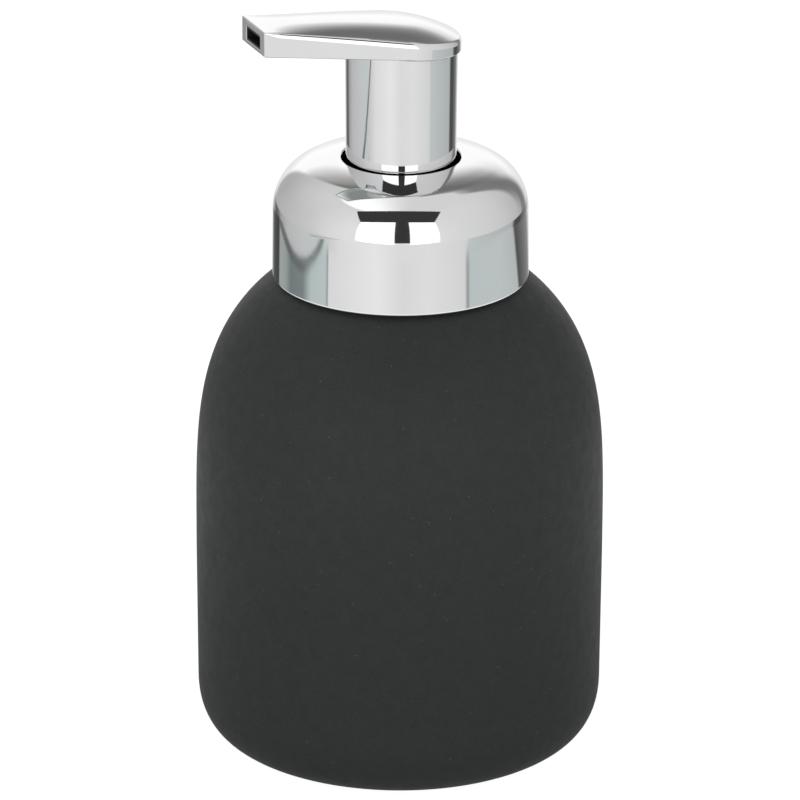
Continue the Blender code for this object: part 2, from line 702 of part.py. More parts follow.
def make_foam_duct(unit):
    """The tube round the foaming unit and the flat duct from it to the outlet."""
    tip_y = 0.4 - SPOUT_REACH
    passage_w = DUCT_W - 2 * DUCT_WALL
    duct = add_piece("foam_duct", unit, boss_mesh(BOSS_R, BOSS_Z, BOSS_RISE), BLACK)
    flat = box_mesh(DUCT_W, -3.0, tip_y, DUCT_LOW, DUCT_HIGH)
    bore = boss_mesh(BOSS_BORE_R, BOSS_Z - 1.0, BOSS_RISE - DUCT_WALL)
    passage = box_mesh(passage_w, -3.6, tip_y - 1.0, DUCT_LOW + DUCT_WALL, DUCT_HIGH - DUCT_WALL)
    add_boolean(duct, "UNION", make_cutter("duct_outer", unit, flat))
    add_boolean(duct, "DIFFERENCE", make_cutter("duct_bore", unit, bore))
    add_boolean(duct, "DIFFERENCE", make_cutter("duct_passage", unit, passage))


# ------------------------------------------------------------------- assembly

def main():
    clear_scene()
    bottle_unit = make_unit("bottle_unit", 0.0)
    pump_unit = make_unit("pump_unit", FLANGE_Z)
    collar_unit = make_unit("collar_unit", COLLAR_Z)
    piston_unit = make_unit("piston_unit", AIR_PISTON_Z)
    head_unit = make_unit("head_unit", HEAD_Z)

    make_bottle(bottle_unit)
    make_neck_insert(bottle_unit)

    make_collar_shell(collar_unit)
    make_screw_cap(collar_unit)

    make_neck_gasket(pump_unit)
    make_air_cylinder(pump_unit)
    make_cylinder_lid(pump_unit)
    make_dip_tube(pump_unit)
    make_spring_seat(pump_unit)
    make_return_spring(pump_unit)
    make_ball("inlet_ball", pump_unit, VALVE_Z)

    make_air_piston(piston_unit)
    make_air_valve(piston_unit)

    make_liquid_piston(head_unit)
    make_stem(head_unit)
    make_foaming_unit(head_unit)
    make_sleeve(head_unit)
    make_head_base(head_unit)
    make_head_cover(head_unit)
    make_foam_duct(head_unit)
    make_ball("outlet_ball", head_unit, OUTLET_VALVE_Z)


main()
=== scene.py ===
"""Looks of the foaming soap dispenser: fine meshes, materials, studio and camera.

Everything is in metres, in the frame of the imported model: +Z up, the origin on the axis at
the foot of the bottle, the spout pointing along -Y. Sizes are read from the frame's nodes or
are named values below. Every turned piece shares the Z axis.
"""
import json
import math

import bmesh
import bpy
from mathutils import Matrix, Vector

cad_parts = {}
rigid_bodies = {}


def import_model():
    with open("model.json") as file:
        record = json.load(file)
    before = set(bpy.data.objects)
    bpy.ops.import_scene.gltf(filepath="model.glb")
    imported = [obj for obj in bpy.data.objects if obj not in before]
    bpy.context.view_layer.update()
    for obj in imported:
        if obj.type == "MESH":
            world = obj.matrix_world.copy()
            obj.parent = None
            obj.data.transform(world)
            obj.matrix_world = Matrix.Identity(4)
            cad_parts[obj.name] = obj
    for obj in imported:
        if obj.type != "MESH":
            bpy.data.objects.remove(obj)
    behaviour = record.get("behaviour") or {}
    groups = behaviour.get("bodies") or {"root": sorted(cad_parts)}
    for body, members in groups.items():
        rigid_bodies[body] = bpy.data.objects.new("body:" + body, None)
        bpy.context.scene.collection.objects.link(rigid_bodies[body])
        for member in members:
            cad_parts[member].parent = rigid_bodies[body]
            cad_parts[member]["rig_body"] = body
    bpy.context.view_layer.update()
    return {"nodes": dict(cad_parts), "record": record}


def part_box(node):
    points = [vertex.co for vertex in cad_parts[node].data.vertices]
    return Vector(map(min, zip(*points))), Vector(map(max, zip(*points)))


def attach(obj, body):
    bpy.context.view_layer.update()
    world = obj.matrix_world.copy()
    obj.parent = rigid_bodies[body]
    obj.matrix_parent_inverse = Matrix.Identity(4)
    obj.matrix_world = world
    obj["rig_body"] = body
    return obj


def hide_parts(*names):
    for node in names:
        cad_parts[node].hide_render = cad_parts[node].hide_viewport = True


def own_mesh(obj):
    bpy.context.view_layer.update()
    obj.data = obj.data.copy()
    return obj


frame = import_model()

MM = 0.001
GAP = 0.3 * MM

# Camera and studio
CAMERA_AZIMUTH = math.radians(67.7)
CAMERA_ELEVATION = math.radians(21.157)
CAMERA_DISTANCE = 1.2
CAMERA_LENS = 274.75
CAMERA_ROLL = math.radians(0.25)
AIM_HEIGHT = 0.0691

# Bottle
BODY_TAPER = 0.15 * MM
FOOT_R = 30.4 * MM
FOOT_RING_R = 26.0 * MM
FOOT_RECESS = 1.2 * MM
FOOT_RISE = 11.9 * MM
FOOT_POWER = 2.4
BODY_WALL = 4.5 * MM
FLOOR_Z = 5.5 * MM
WAIST_Z = 38.1 * MM
SHOULDER_RISE = 65.3 * MM
SHOULDER_POWER = 4.04
SHOULDER_ROUND = 1.718
MOUTH_R = 18.5 * MM

# Collar
COLLAR_DRAFT = 0.13 * MM
COLLAR_SHOULDER_R = 9.5 * MM
COLLAR_CROWN_R = 29.0 * MM
COLLAR_CROWN_ANGLE = 75.0
COLLAR_HOLE_R = 11.6 * MM
COLLAR_WALL = 0.6 * MM
COLLAR_LIP = 1.4 * MM
COLLAR_ROLL = 0.35 * MM

# Neck thread
THREAD_PITCH = 4.0 * MM
THREAD_DEPTH = 1.1 * MM
THREAD_TURNS = 1.9
THREAD_FADE = 0.12
THREAD_ROOT = 0.75 * MM
THREAD_START = 2.5 * MM
THREAD_SECTION = ((-1.0, 0.0), (-0.8, 0.25), (-0.45, 0.9), (-0.25, 1.0),
                  (0.25, 1.0), (0.45, 0.9), (0.8, 0.25), (1.0, 0.0))

# Sleeve
SLEEVE_LOW_R = 10.75 * MM
SLEEVE_WALL = 0.8 * MM

# Head
UNDER_SLOPE = math.tan(math.radians(4.85))
CREASE_SLOPE = math.tan(math.radians(8.3))
SIDE_HEIGHT = 3.1 * MM
CROWN = 2.3 * MM
CROWN_POWER = 2.3
TIP_HALF_WIDTH = 5.95 * MM
HEAD_WALL = 0.9 * MM
CREASE_WIDTH = 0.5 * MM
CREASE_DROP = 0.9 * MM
CREASE_AT_TIP = 0.3
CREASE_RUN = 3.0 * MM
RIM_R = 0.25 * MM
CORNER_R = 0.22 * MM
OUTLET_W = 7.3 * MM
OUTLET_H = 2.8 * MM
OUTLET_SILL = 0.8 * MM
OUTLET_LIP = 0.08 * MM
SPIGOT_FIT = 0.18 * MM
SPIGOT_WALL = 1.0 * MM
DUCT_WALL = 0.35 * MM
DUCT_FIT = 0.03 * MM
DUCT_TOP = 2.7 * MM

# Meshes
FINE_COLUMNS = 192
INNER_COLUMNS = 96
BALL_COLUMNS = 64
ACROSS_HEAD = 40
ON_AXIS = 1e-6
NEARLY_STRAIGHT = math.radians(160)


# ---------- node helpers

def rgba(colour):
    """Four parts for a colour given as a brightness or as three parts; a socket stays as it is."""
    if isinstance(colour, (int, float)):
        return (colour, colour, colour, 1.0)
    if isinstance(colour, tuple):
        return (*colour, 1.0)
    return colour


class Tree:
    """Short names for building the node tree of one material or world."""

    def __init__(self, owner):
        owner.use_nodes = True
        self.tree = owner.node_tree
        self.tree.nodes.clear()

    def feed(self, socket, value):
        if isinstance(value, bpy.types.NodeSocket):
            self.tree.links.new(value, socket)
        else:
            socket.default_value = value

    def add(self, kind, sockets=None, **settings):
        node = self.tree.nodes.new(kind)
        for name, value in settings.items():
            setattr(node, name, value)
        for name, value in (sockets or {}).items():
            self.feed(node.inputs[name], value)
        return node

    def math(self, operation, *values):
        node = self.add("ShaderNodeMath", operation=operation)
        for socket, value in zip(node.inputs, values):
            self.feed(socket, value)
        return node.outputs[0]

    def product(self, first, *others):
        for other in others:
            first = self.math("MULTIPLY", first, other)
        return first

    def total(self, first, second):
        return self.math("ADD", first, second)

    def line(self, value, factor, offset):
        return self.math("MULTIPLY_ADD", value, factor, offset)

    def dot(self, vector, axis):
        node = self.add("ShaderNodeVectorMath", {0: vector, 1: axis}, operation="DOT_PRODUCT")
        return node.outputs["Value"]

    def step(self, value, low, high, start=0.0, end=1.0):
        """A smooth change from start to end while value goes from low to high."""
        sockets = {"Value": value, "From Min": low, "From Max": high,
                   "To Min": start, "To Max": end}
        node = self.add("ShaderNodeMapRange", sockets, interpolation_type="SMOOTHSTEP", clamp=True)
        return node.outputs["Result"]

    def between(self, value, low, high, soft):
        """1 from low to high and 0 outside, with edges this soft."""
        rising = self.step(value, low - soft, low + soft)
        falling = self.step(value, high - soft, high + soft, 1.0, 0.0)
        return self.product(rising, falling)

    def mix(self, share, first, second):
        node = self.add("ShaderNodeMix", data_type="RGBA")
        self.feed(node.inputs[0], share)
        self.feed(node.inputs[6], rgba(first))
        self.feed(node.inputs[7], rgba(second))
        return node.outputs[2]

    def ramp(self, share, stops):
        """Colours blended along 0 to 1, from (place, colour) pairs in order."""
        node = self.add("ShaderNodeValToRGB", {"Fac": share})
        elements = node.color_ramp.elements
        while len(elements) < len(stops):
            elements.new(1.0)
        for element, (place, colour) in zip(elements, stops):
            element.position = place
            element.color = rgba(colour)
        return node.outputs["Color"]

    def place(self, stretch=(1.0, 1.0, 1.0)):
        """Object coordinates in metres, stretched per axis."""
        coords = self.add("ShaderNodeTexCoord").outputs["Object"]
        return self.add("ShaderNodeMapping", {"Vector": coords, "Scale": stretch}).outputs["Vector"]

    def noise(self, size, detail=3.0, stretch=(1.0, 1.0, 1.0), roughness=0.5):
        """Noise from 0 to 1 whose spots are about this size in metres."""
        sockets = {"Vector": self.place(stretch), "Scale": 1.0 / size, "Detail": detail,
                   "Roughness": roughness}
        return self.add("ShaderNodeTexNoise", sockets).outputs["Fac"]

    def spots(self, spacing, radius, share, stretch=(1.0, 1.0, 1.0)):
        """This share inside scattered spots, one per cell of this spacing, and 0 outside."""
        sockets = {"Vector": self.place(stretch), "Scale": 1.0 / spacing}
        node = self.add("ShaderNodeTexVoronoi", sockets)
        distance = node.outputs["Distance"]
        return self.step(distance, 0.5 * radius / spacing, radius / spacing, share, 0.0)

    def bump(self, height, distance, under=None):
        sockets = {"Height": height, "Distance": distance}
        if under is not None:
            sockets["Normal"] = under
        return self.add("ShaderNodeBump", sockets).outputs["Normal"]

    def surface(self, **sockets):
        """The Principled shader on the output; underscores stand for spaces in socket names."""
        names = {name.replace("_", " "): value for name, value in sockets.items()}
        shader = self.add("ShaderNodeBsdfPrincipled", names)
        self.add("ShaderNodeOutputMaterial", {"Surface": shader.outputs[0]})


# ---------- materials

def new_material(name):
    material = bpy.data.materials.new(name)
    return material, Tree(material)


def coated_ceramic():
    """Soft-touch coating on stoneware: anthracite, fine grain, worn through on the foot ring."""
    coat_dark, coat_light = (0.0168, 0.0187, 0.0182), (0.0219, 0.0236, 0.0230)
    cloud, grain_light = (0.0170, 0.0185, 0.0185), (0.0370, 0.0395, 0.0390)
    pale_speck, dark_speck = (0.10, 0.10, 0.097), (0.009, 0.009, 0.009)
    bare_clay = (0.36, 0.33, 0.29)
    material, tree = new_material("coated_ceramic")
    drift = tree.noise(28 * MM, 3.0)
    mottle = tree.noise(2.6 * MM, 4.0, roughness=0.6)
    grain = tree.noise(0.34 * MM, 3.0, roughness=0.65)
    colour = tree.mix(drift, coat_dark, coat_light)
    colour = tree.mix(tree.step(mottle, 0.35, 0.7, 0.0, 0.35), colour, cloud)
    colour = tree.mix(tree.step(grain, 0.4, 0.75, 0.0, 0.6), colour, grain_light)
    colour = tree.mix(tree.spots(2.7 * MM, 0.17 * MM, 0.8), colour, pale_speck)
    dark_spots = tree.spots(4.1 * MM, 0.36 * MM, 0.6, (1.0, 1.13, 0.91))
    colour = tree.mix(dark_spots, colour, dark_speck)
    height = tree.add("ShaderNodeSeparateXYZ", {0: tree.place()}).outputs["Z"]
    ragged_height = tree.total(height, tree.product(mottle, 0.5 * MM))
    worn = tree.step(ragged_height, 0.25 * MM, 0.55 * MM, 1.0, 0.0)
    colour = tree.mix(worn, colour, bare_clay)
    unevenness = tree.total(mottle, tree.product(grain, 0.5))
    roughness = tree.step(unevenness, 0.45, 1.05, 0.54, 0.68)
    normal = tree.bump(drift, 0.10 * MM)
    normal = tree.bump(mottle, 0.012 * MM, normal)
    normal = tree.bump(grain, 0.010 * MM, normal)
    tree.surface(Base_Color=colour, Roughness=roughness, Normal=normal, IOR=1.45,
                 Specular_IOR_Level=0.42, Sheen_Weight=0.05, Sheen_Roughness=0.35)
    return material


def chrome(name, wipe_stretch):
    """Bright chrome plating: faint ripple, wipe marks along one direction, handling haze."""
    plate_dark, plate_light = (0.806, 0.808, 0.816), (0.854, 0.853, 0.858)
    wiped, pitted = (0.74, 0.75, 0.76), (0.45, 0.45, 0.46)
    material, tree = new_material(name)
    haze = tree.noise(9 * MM, 4.0, roughness=0.6)
    wipes = tree.noise(2.4 * MM, 5.0, wipe_stretch, roughness=0.7)
    ripple = tree.noise(6.5 * MM, 1.0)
    colour = tree.mix(haze, plate_dark, plate_light)
    colour = tree.mix(tree.step(wipes, 0.62, 0.80, 0.0, 0.25), colour, wiped)
    colour = tree.mix(tree.spots(6.0 * MM, 0.10 * MM, 0.5), colour, pitted)
    unevenness = tree.total(haze, tree.product(wipes, 0.6))
    roughness = tree.step(unevenness, 0.55, 1.10, 0.018, 0.060)
    normal = tree.bump(ripple, 0.004 * MM)
    normal = tree.bump(wipes, 0.0004 * MM, normal)
    tree.surface(Base_Color=colour, Roughness=roughness, Normal=normal, Metallic=1.0)
    return material


def moulded(name, dark, light, rough_range, grain_size, grain_depth, **extra):
    """A moulded plastic or rubber: two close tones, eroded texture, fine flow lines, dust."""
    material, tree = new_material(name)
    tone = tree.noise(7 * MM, 3.0)
    grain = tree.noise(grain_size, 4.0, roughness=0.65)
    flow = tree.noise(3 * MM, 2.0, (1.0, 1.0, 0.2))
    colour = tree.mix(tone, dark, light)
    dust = tuple(0.5 * part + 0.12 for part in light)
    colour = tree.mix(tree.spots(3.4 * MM, 0.16 * MM, 0.3), colour, dust)
    unevenness = tree.total(grain, tree.product(flow, 0.5))
    roughness = tree.step(unevenness, 0.45, 1.05, *rough_range)
    normal = tree.bump(flow, 0.01 * MM)
    normal = tree.bump(grain, grain_depth, normal)
    tree.surface(Base_Color=colour, Roughness=roughness, Normal=normal, **extra)
    return material


def screen_cloth():
    """The woven screen of the foaming unit: crossed threads, with the holes between them painted
    dark as the shade seen through them.
    """
    pitch = 0.32 * MM
    thread_dark, thread_light, hole = (0.62, 0.63, 0.60), (0.74, 0.74, 0.70), 0.05
    material, tree = new_material("screen_cloth")
    parts = tree.add("ShaderNodeSeparateXYZ", {0: tree.place()})
    threads = []
    for axis in ("X", "Y"):
        wave = tree.math("SINE", tree.product(parts.outputs[axis], 2 * math.pi / pitch))
        threads.append(tree.math("ABSOLUTE", wave))
    weave = tree.math("MAXIMUM", *threads)
    tone = tree.noise(1.2 * MM)
    colour = tree.mix(tone, thread_dark, thread_light)
    # Painted shade: the holes between the threads are painted near black, standing for the dark
    # seen through them
    colour = tree.mix(tree.step(weave, 0.35, 0.75, 0.85, 0.0), colour, hole)
    roughness = tree.step(tone, 0.3, 0.7, 0.4, 0.6)
    tree.surface(Base_Color=colour, Roughness=roughness, Normal=tree.bump(weave, 0.08 * MM))
    return material


def spring_steel():
    """Drawn stainless wire: fine lines, slight heat tint."""
    material, tree = new_material("spring_steel")
    lines = tree.noise(0.12 * MM, 3.0, (1.0, 1.0, 0.25))
    tint = tree.noise(5 * MM, 2.0)
    colour = tree.mix(tint, (0.58, 0.57, 0.55), (0.68, 0.67, 0.64))
    roughness = tree.step(lines, 0.3, 0.7, 0.16, 0.34)
    tree.surface(Base_Color=colour, Roughness=roughness, Normal=tree.bump(lines, 0.004 * MM),
                 Metallic=1.0)
    return material


MATERIALS = {
    "coated_ceramic": coated_ceramic(),
    "chrome": chrome("chrome_turned", wipe_stretch=(1.0, 1.0, 9.0)),
    "chrome_head": chrome("chrome_head", wipe_stretch=(1.0, 9.0, 1.0)),
    "black_plastic": moulded("black_plastic", (0.012, 0.012, 0.013), (0.020, 0.020, 0.021),
                             (0.34, 0.52), 0.16 * MM, 0.010 * MM),
    "natural_plastic": moulded("natural_plastic", (0.72, 0.73, 0.70), (0.80, 0.80, 0.77),
                               (0.32, 0.50), 0.22 * MM, 0.008 * MM,
                               Subsurface_Weight=0.25, Subsurface_Scale=0.002),
    "seal_rubber": moulded("seal_rubber", (0.50, 0.51, 0.51), (0.58, 0.59, 0.59),
                           (0.60, 0.80), 0.12 * MM, 0.012 * MM, Sheen_Weight=0.1),
    "spring_steel": spring_steel(),
    "screen_cloth": screen_cloth(),
}


# ---------- outline helpers

def arc(centre_r, centre_z, radius_r, radius_z, start, stop, steps):
    """Points of an elliptical arc in the (r, z) plane, angles in degrees."""
    points = []
    for step in range(steps + 1):
        angle = math.radians(start + (stop - start) * step / steps)
        points.append((centre_r + radius_r * math.cos(angle),
                       centre_z + radius_z * math.sin(angle)))
    return points


def eased(outline, radius, steps=3):
    """The closed outline with its corners rounded, where their neighbours leave room."""
    points = []
    for index, corner in enumerate(outline):
        here = Vector(corner)
        before = Vector(outline[index - 1]) - here
        after = Vector(outline[(index + 1) % len(outline)]) - here
        if here.x < ON_AXIS or abs(before.angle_signed(after)) > NEARLY_STRAIGHT:
            points.append(tuple(here))
            continue
        reach = min(radius, 0.4 * before.length, 0.4 * after.length)
        first = here + before.normalized() * reach
        last = here + after.normalized() * reach
        for step in range(steps + 1):
            share = step / steps
            bend = first * (1 - share) ** 2 + here * 2 * share * (1 - share) + last * share ** 2
            points.append(tuple(bend))
    return points


def turned_mesh(outline_at, columns, closed=True):
    """Turn an (r, z) outline about the axis; points on the axis become single vertices."""
    mesh = bmesh.new()
    outlines = [outline_at(2 * math.pi * column / columns) for column in range(columns)]
    rings = []
    for index, (first_r, first_z) in enumerate(outlines[0]):
        if first_r < ON_AXIS:
            rings.append([mesh.verts.new((0.0, 0.0, first_z))])
            continue
        ring = []
        for column, outline in enumerate(outlines):
            r, z = outline[index]
            angle = 2 * math.pi * column / columns
            ring.append(mesh.verts.new((r * math.cos(angle), r * math.sin(angle), z)))
        rings.append(ring)
    bridge(mesh, rings, closed)
    return mesh


def bridge(mesh, rings, closed=False):
    """Join rings of vertices in order, a closed row also last to first; one vertex gives a fan."""
    for ring, following in zip(rings, rings[1:] + (rings[:1] if closed else [])):
        columns = max(len(ring), len(following))
        for column in range(columns if columns > 1 else 0):
            after = (column + 1) % columns
            corners = [ring[column % len(ring)], ring[after % len(ring)],
                       following[after % len(following)], following[column % len(following)]]
            mesh.faces.new(list(dict.fromkeys(corners)))


def add_object(name, mesh, material):
    """Put a finished mesh in the scene as an object, shaded smooth."""
    data = bpy.data.meshes.new(name)
    mesh.to_mesh(data)
    mesh.free()
    data.shade_smooth()
    data.materials.append(material)
    made = bpy.data.objects.new(name, data)
    bpy.context.scene.collection.objects.link(made)
    return made


def add_piece(name, mesh, body, node, slot, material=None, smooth_angle=32.0):
    """Make a visible piece that rides on a body and stands for a CAD node."""
    bmesh.ops.recalc_face_normals(mesh, faces=mesh.faces)
    piece = add_object(name, mesh, MATERIALS[material or slot])
    piece.data.set_sharp_from_angle(angle=math.radians(smooth_angle))
    weighting = piece.modifiers.new("weighted_normals", "WEIGHTED_NORMAL")
    weighting.keep_sharp = True
    weighting.weight = 80
    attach(piece, body)
    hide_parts(node)
    return piece


# ---------- bottle

def shoulder_points(radius, rise, lowest_r, steps):
    """The bottle's shoulder, from the straight wall up to where its radius is lowest_r."""
    top = (1.0 - (lowest_r / radius) ** SHOULDER_ROUND) ** (1.0 / SHOULDER_POWER)
    points = []
    for step in range(steps + 1):
        share = top * math.sin(0.5 * math.pi * step / steps)
        r = radius * (1.0 - share ** SHOULDER_POWER) ** (1.0 / SHOULDER_ROUND)
        points.append((r, WAIST_Z + rise * share))
    return points


def foot_points(radius, corner, base_z, steps):
    """The rounded bottom edge, from the flat foot out to the wall of this radius."""
    points = []
    for step in range(steps + 1):
        angle = 0.5 * math.pi * step / steps
        inwards = 1.0 - math.sin(angle) ** (2.0 / FOOT_POWER)
        rise = 1.0 - max(0.0, math.cos(angle)) ** (2.0 / FOOT_POWER)
        points.append((radius - corner * inwards, base_z + FOOT_RISE * rise))
    return points


def make_bottle_skin():
    """The ceramic bottle: recessed foot, foot ring, wall, shoulder, flat land round the mouth."""
    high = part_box("bottle")[1]
    body_r, land_z = high.x, high.z
    inner_r = body_r - BODY_WALL
    corner = body_r - BODY_TAPER - FOOT_R
    land_share = (land_z - WAIST_Z) / SHOULDER_RISE
    land_r = body_r * (1.0 - land_share ** SHOULDER_POWER) ** (1.0 / SHOULDER_ROUND)
    edge = 0.5 * MM
    ring_round, ring_shift = 1.2 * MM, 0.2 * MM
    outline = [(0.0, FOOT_RECESS), (FOOT_RING_R - ring_round - 2 * ring_shift, FOOT_RECESS)]
    outline += arc(FOOT_RING_R + ring_shift, FOOT_RECESS, ring_round, FOOT_RECESS, 180, 270, 8)[1:]
    outline += foot_points(body_r - BODY_TAPER, corner, 0.0, 32)
    shoulder = shoulder_points(body_r, SHOULDER_RISE, land_r + edge, 56)
    outline += shoulder
    outline += arc(land_r - edge, land_z - edge, shoulder[-1][0] - land_r + edge, edge, 25, 90, 5)
    outline += arc(MOUTH_R + edge, land_z - edge, edge, edge, 90, 180, 5)
    outline += shoulder_points(inner_r, SHOULDER_RISE - BODY_WALL, MOUTH_R, 24)[::-1]
    outline += foot_points(inner_r - BODY_TAPER, corner, FLOOR_Z, 16)[::-1]
    outline += [(0.0, FLOOR_Z)]
    mesh = turned_mesh(lambda angle: outline, FINE_COLUMNS)
    add_piece("bottle_skin", mesh, "bottle", "bottle", "coated_ceramic")


# ---------- neck and cap

def thread_ridge(angle, base_r, depth, first_z):
    """The points of a right-hand thread's ridge at one angle, from the bottom to the top."""
    part = angle / (2 * math.pi)
    points = []
    for winding in range(2):
        turn = part + winding
        reach = min(part, 1.0 - part, turn, max(0.0, THREAD_TURNS - turn)) / THREAD_FADE
        height = depth * min(1.0, reach)
        centre = first_z + THREAD_PITCH * turn
        for share, out in THREAD_SECTION:
            points.append((base_r + height * out, centre + THREAD_ROOT * share))
    return points


def make_neck_thread():
    """The plastic ring in the mouth: flange on the land, outer thread above it."""
    low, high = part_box("neck_insert")
    land_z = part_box("bottle")[1].z
    bore_r = 16.6 * MM
    neck_r = 18.9 * MM
    flange_r = high.x
    flange_z = land_z + GAP
    flange_top_z = flange_z + 1.2 * MM
    edge = 0.2 * MM

    def outline_at(angle):
        ridge = thread_ridge(angle, neck_r, THREAD_DEPTH, land_z + THREAD_START)
        return ([(bore_r, low.z), (MOUTH_R - GAP - edge, low.z), (MOUTH_R - GAP, low.z + edge),
                 (MOUTH_R - GAP, flange_z), (flange_r - edge, flange_z),
                 (flange_r, flange_z + edge), (flange_r, flange_top_z - edge),
                 (flange_r - edge, flange_top_z), (neck_r, flange_top_z)]
                + ridge + [(neck_r, high.z - edge), (neck_r - edge, high.z),
                           (bore_r + edge, high.z), (bore_r, high.z - edge)])

    mesh = turned_mesh(outline_at, FINE_COLUMNS)
    add_piece("neck_thread", mesh, "bottle", "neck_insert", "natural_plastic")


def make_cap_skin():
    """The black screw cap: smooth plate, ribbed skirt, inner thread."""
    low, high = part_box("screw_cap")
    land_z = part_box("bottle")[1].z
    plate_z = high.z - 1.6 * MM
    hole_r = 12.6 * MM
    root_r = 20.3 * MM
    cap_r = 22.4 * MM
    rib_r = high.x
    rib_top_z = low.z + 9.0 * MM
    ribs = 10
    plate_round = 1.2 * MM
    edge = 0.25 * MM

    def outline_at(angle):
        bulge = max(0.0, math.cos(ribs * angle)) ** 3
        outer_r = cap_r + (rib_r - cap_r) * bulge
        ridge = thread_ridge(angle, root_r, 0.05 * MM - THREAD_DEPTH,
                             land_z + THREAD_START + THREAD_PITCH / 2)
        return ([(root_r, low.z), (outer_r - edge, low.z), (outer_r, low.z + edge),
                 (outer_r, rib_top_z), (cap_r, rib_top_z + 1.0 * MM)]
                + arc(cap_r - plate_round, high.z - plate_round, plate_round, plate_round, 0, 90, 6)
                + [(hole_r + edge, high.z), (hole_r, high.z - edge), (hole_r, plate_z),
                   (root_r, plate_z)]
                + ridge[::-1])

    mesh = turned_mesh(outline_at, FINE_COLUMNS)
    add_piece("cap_skin", mesh, "collar", "screw_cap", "black_plastic")


# ---------- collar

def dome_points(inset, last_r, steps):
    """The collar's dome from its wall in to the radius last_r, moved inwards by inset."""
    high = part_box("collar_shell")[1]
    shoulder_centre_r = high.x - COLLAR_DRAFT - COLLAR_SHOULDER_R
    extra_r = COLLAR_CROWN_R - COLLAR_SHOULDER_R
    turn = math.radians(COLLAR_CROWN_ANGLE)
    crown_centre_r = shoulder_centre_r - extra_r * math.cos(turn)
    crown_centre_z = high.z - COLLAR_CROWN_R * math.sin(
        math.acos((COLLAR_HOLE_R + COLLAR_ROLL - crown_centre_r) / COLLAR_CROWN_R))
    shoulder_centre_z = crown_centre_z + extra_r * math.sin(turn)
    shoulder_r = COLLAR_SHOULDER_R - inset
    crown_r = COLLAR_CROWN_R - inset
    last_angle = math.degrees(math.acos((last_r - crown_centre_r) / crown_r))
    points = arc(shoulder_centre_r, shoulder_centre_z, shoulder_r, shoulder_r,
                 0, COLLAR_CROWN_ANGLE, 3 * steps)
    return points + arc(crown_centre_r, crown_centre_z, crown_r, crown_r,
                        COLLAR_CROWN_ANGLE, last_angle, steps)[1:]


def make_collar_cover():
    """The domed chrome cover: rolled lower edge, dome, rolled lip of the sleeve's hole."""
    low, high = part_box("collar_shell")
    collar_r, top_z = high.x, high.z
    lip_r = COLLAR_HOLE_R + COLLAR_WALL
    lip_z = top_z - COLLAR_LIP
    edge_in, edge_up = 0.2 * MM, 0.6 * MM
    outline = [(collar_r - COLLAR_WALL, low.z)]
    outline += arc(collar_r - edge_in, low.z + edge_up, edge_in, edge_up, -90, 0, 8)
    roll_r = COLLAR_HOLE_R + COLLAR_ROLL
    outline += dome_points(0.0, roll_r, 16)
    outline += arc(roll_r, top_z - COLLAR_ROLL, COLLAR_ROLL, COLLAR_ROLL, 90, 180, 6)[1:]
    outline += [(COLLAR_HOLE_R, lip_z), (lip_r, lip_z)]
    outline += dome_points(COLLAR_WALL, lip_r, 8)[::-1]
    mesh = turned_mesh(lambda angle: outline, FINE_COLUMNS)
    add_piece("collar_cover", mesh, "collar", "collar_shell", "chrome")


# ---------- head

HEAD_LOW, HEAD_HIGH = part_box("head_cover")
HEAD_R = HEAD_HIGH.x
SPOUT_REACH = -HEAD_LOW.y
HEAD_Z = HEAD_LOW.z + UNDER_SLOPE * HEAD_R
SIDE_ANGLE = (math.atan2(-SPOUT_REACH, TIP_HALF_WIDTH)
              + math.acos(HEAD_R / math.hypot(SPOUT_REACH, TIP_HALF_WIDTH)))


def under_height(y):
    """Height of the head's underside, which rises towards the tip."""
    return HEAD_Z - UNDER_SLOPE * y


def half_width(y):
    """Half the width of the head's plan at y, its tip corners taken as sharp."""
    if y < HEAD_R * math.sin(SIDE_ANGLE):
        return (HEAD_R - y * math.sin(SIDE_ANGLE)) / math.cos(SIDE_ANGLE)
    return math.sqrt(max(0.0, HEAD_R * HEAD_R - y * y))


def top_height(x, y):
    """Height of the domed top: it rises from the crease and dies out at the tip."""
    crease = HEAD_Z + SIDE_HEIGHT - CREASE_SLOPE * y
    if y >= 0.0:
        return crease + CROWN * max(0.0, 1.0 - (math.hypot(x, y) / HEAD_R) ** CROWN_POWER)
    fade = max(0.0, 1.0 - (y / SPOUT_REACH) ** 2)
    return crease + CROWN * fade * max(0.0, 1.0 - abs(x / half_width(y)) ** CROWN_POWER)


def plan_side(inset):
    """One side of the head's plan moved inwards by inset: tip corner, straight side, rear arc."""
    corner_steps, side_steps, rear_steps = 6, 36, 44
    corner_r = max(CORNER_R - inset, 0.05 * MM)
    centre_y = inset + corner_r - SPOUT_REACH
    centre_x = (HEAD_R - inset - corner_r - centre_y * math.sin(SIDE_ANGLE)) / math.cos(SIDE_ANGLE)
    points = []
    for step in range(corner_steps + 1):
        angle = -0.5 * math.pi + (SIDE_ANGLE + 0.5 * math.pi) * step / corner_steps
        points.append(Vector((centre_x + corner_r * math.cos(angle),
                              centre_y + corner_r * math.sin(angle))))
    rear_r = HEAD_R - inset
    start = points[-1]
    end = Vector((rear_r * math.cos(SIDE_ANGLE), rear_r * math.sin(SIDE_ANGLE)))
    points += [start.lerp(end, step / side_steps) for step in range(1, side_steps + 1)]
    for step in range(1, rear_steps + 1):
        angle = SIDE_ANGLE + (0.5 * math.pi - SIDE_ANGLE) * step / rear_steps
        points.append(Vector((rear_r * math.cos(angle), rear_r * math.sin(angle))))
    points[-1].x = 0.0
    return points


def crease_scale(y):
    """Share of the crease's full size: small at the tip, whole a few millimetres behind it."""
    share = min(1.0, max(0.0, (y + SPOUT_REACH) / CREASE_RUN))
    return CREASE_AT_TIP + (1.0 - CREASE_AT_TIP) * share * share * (3.0 - 2.0 * share)


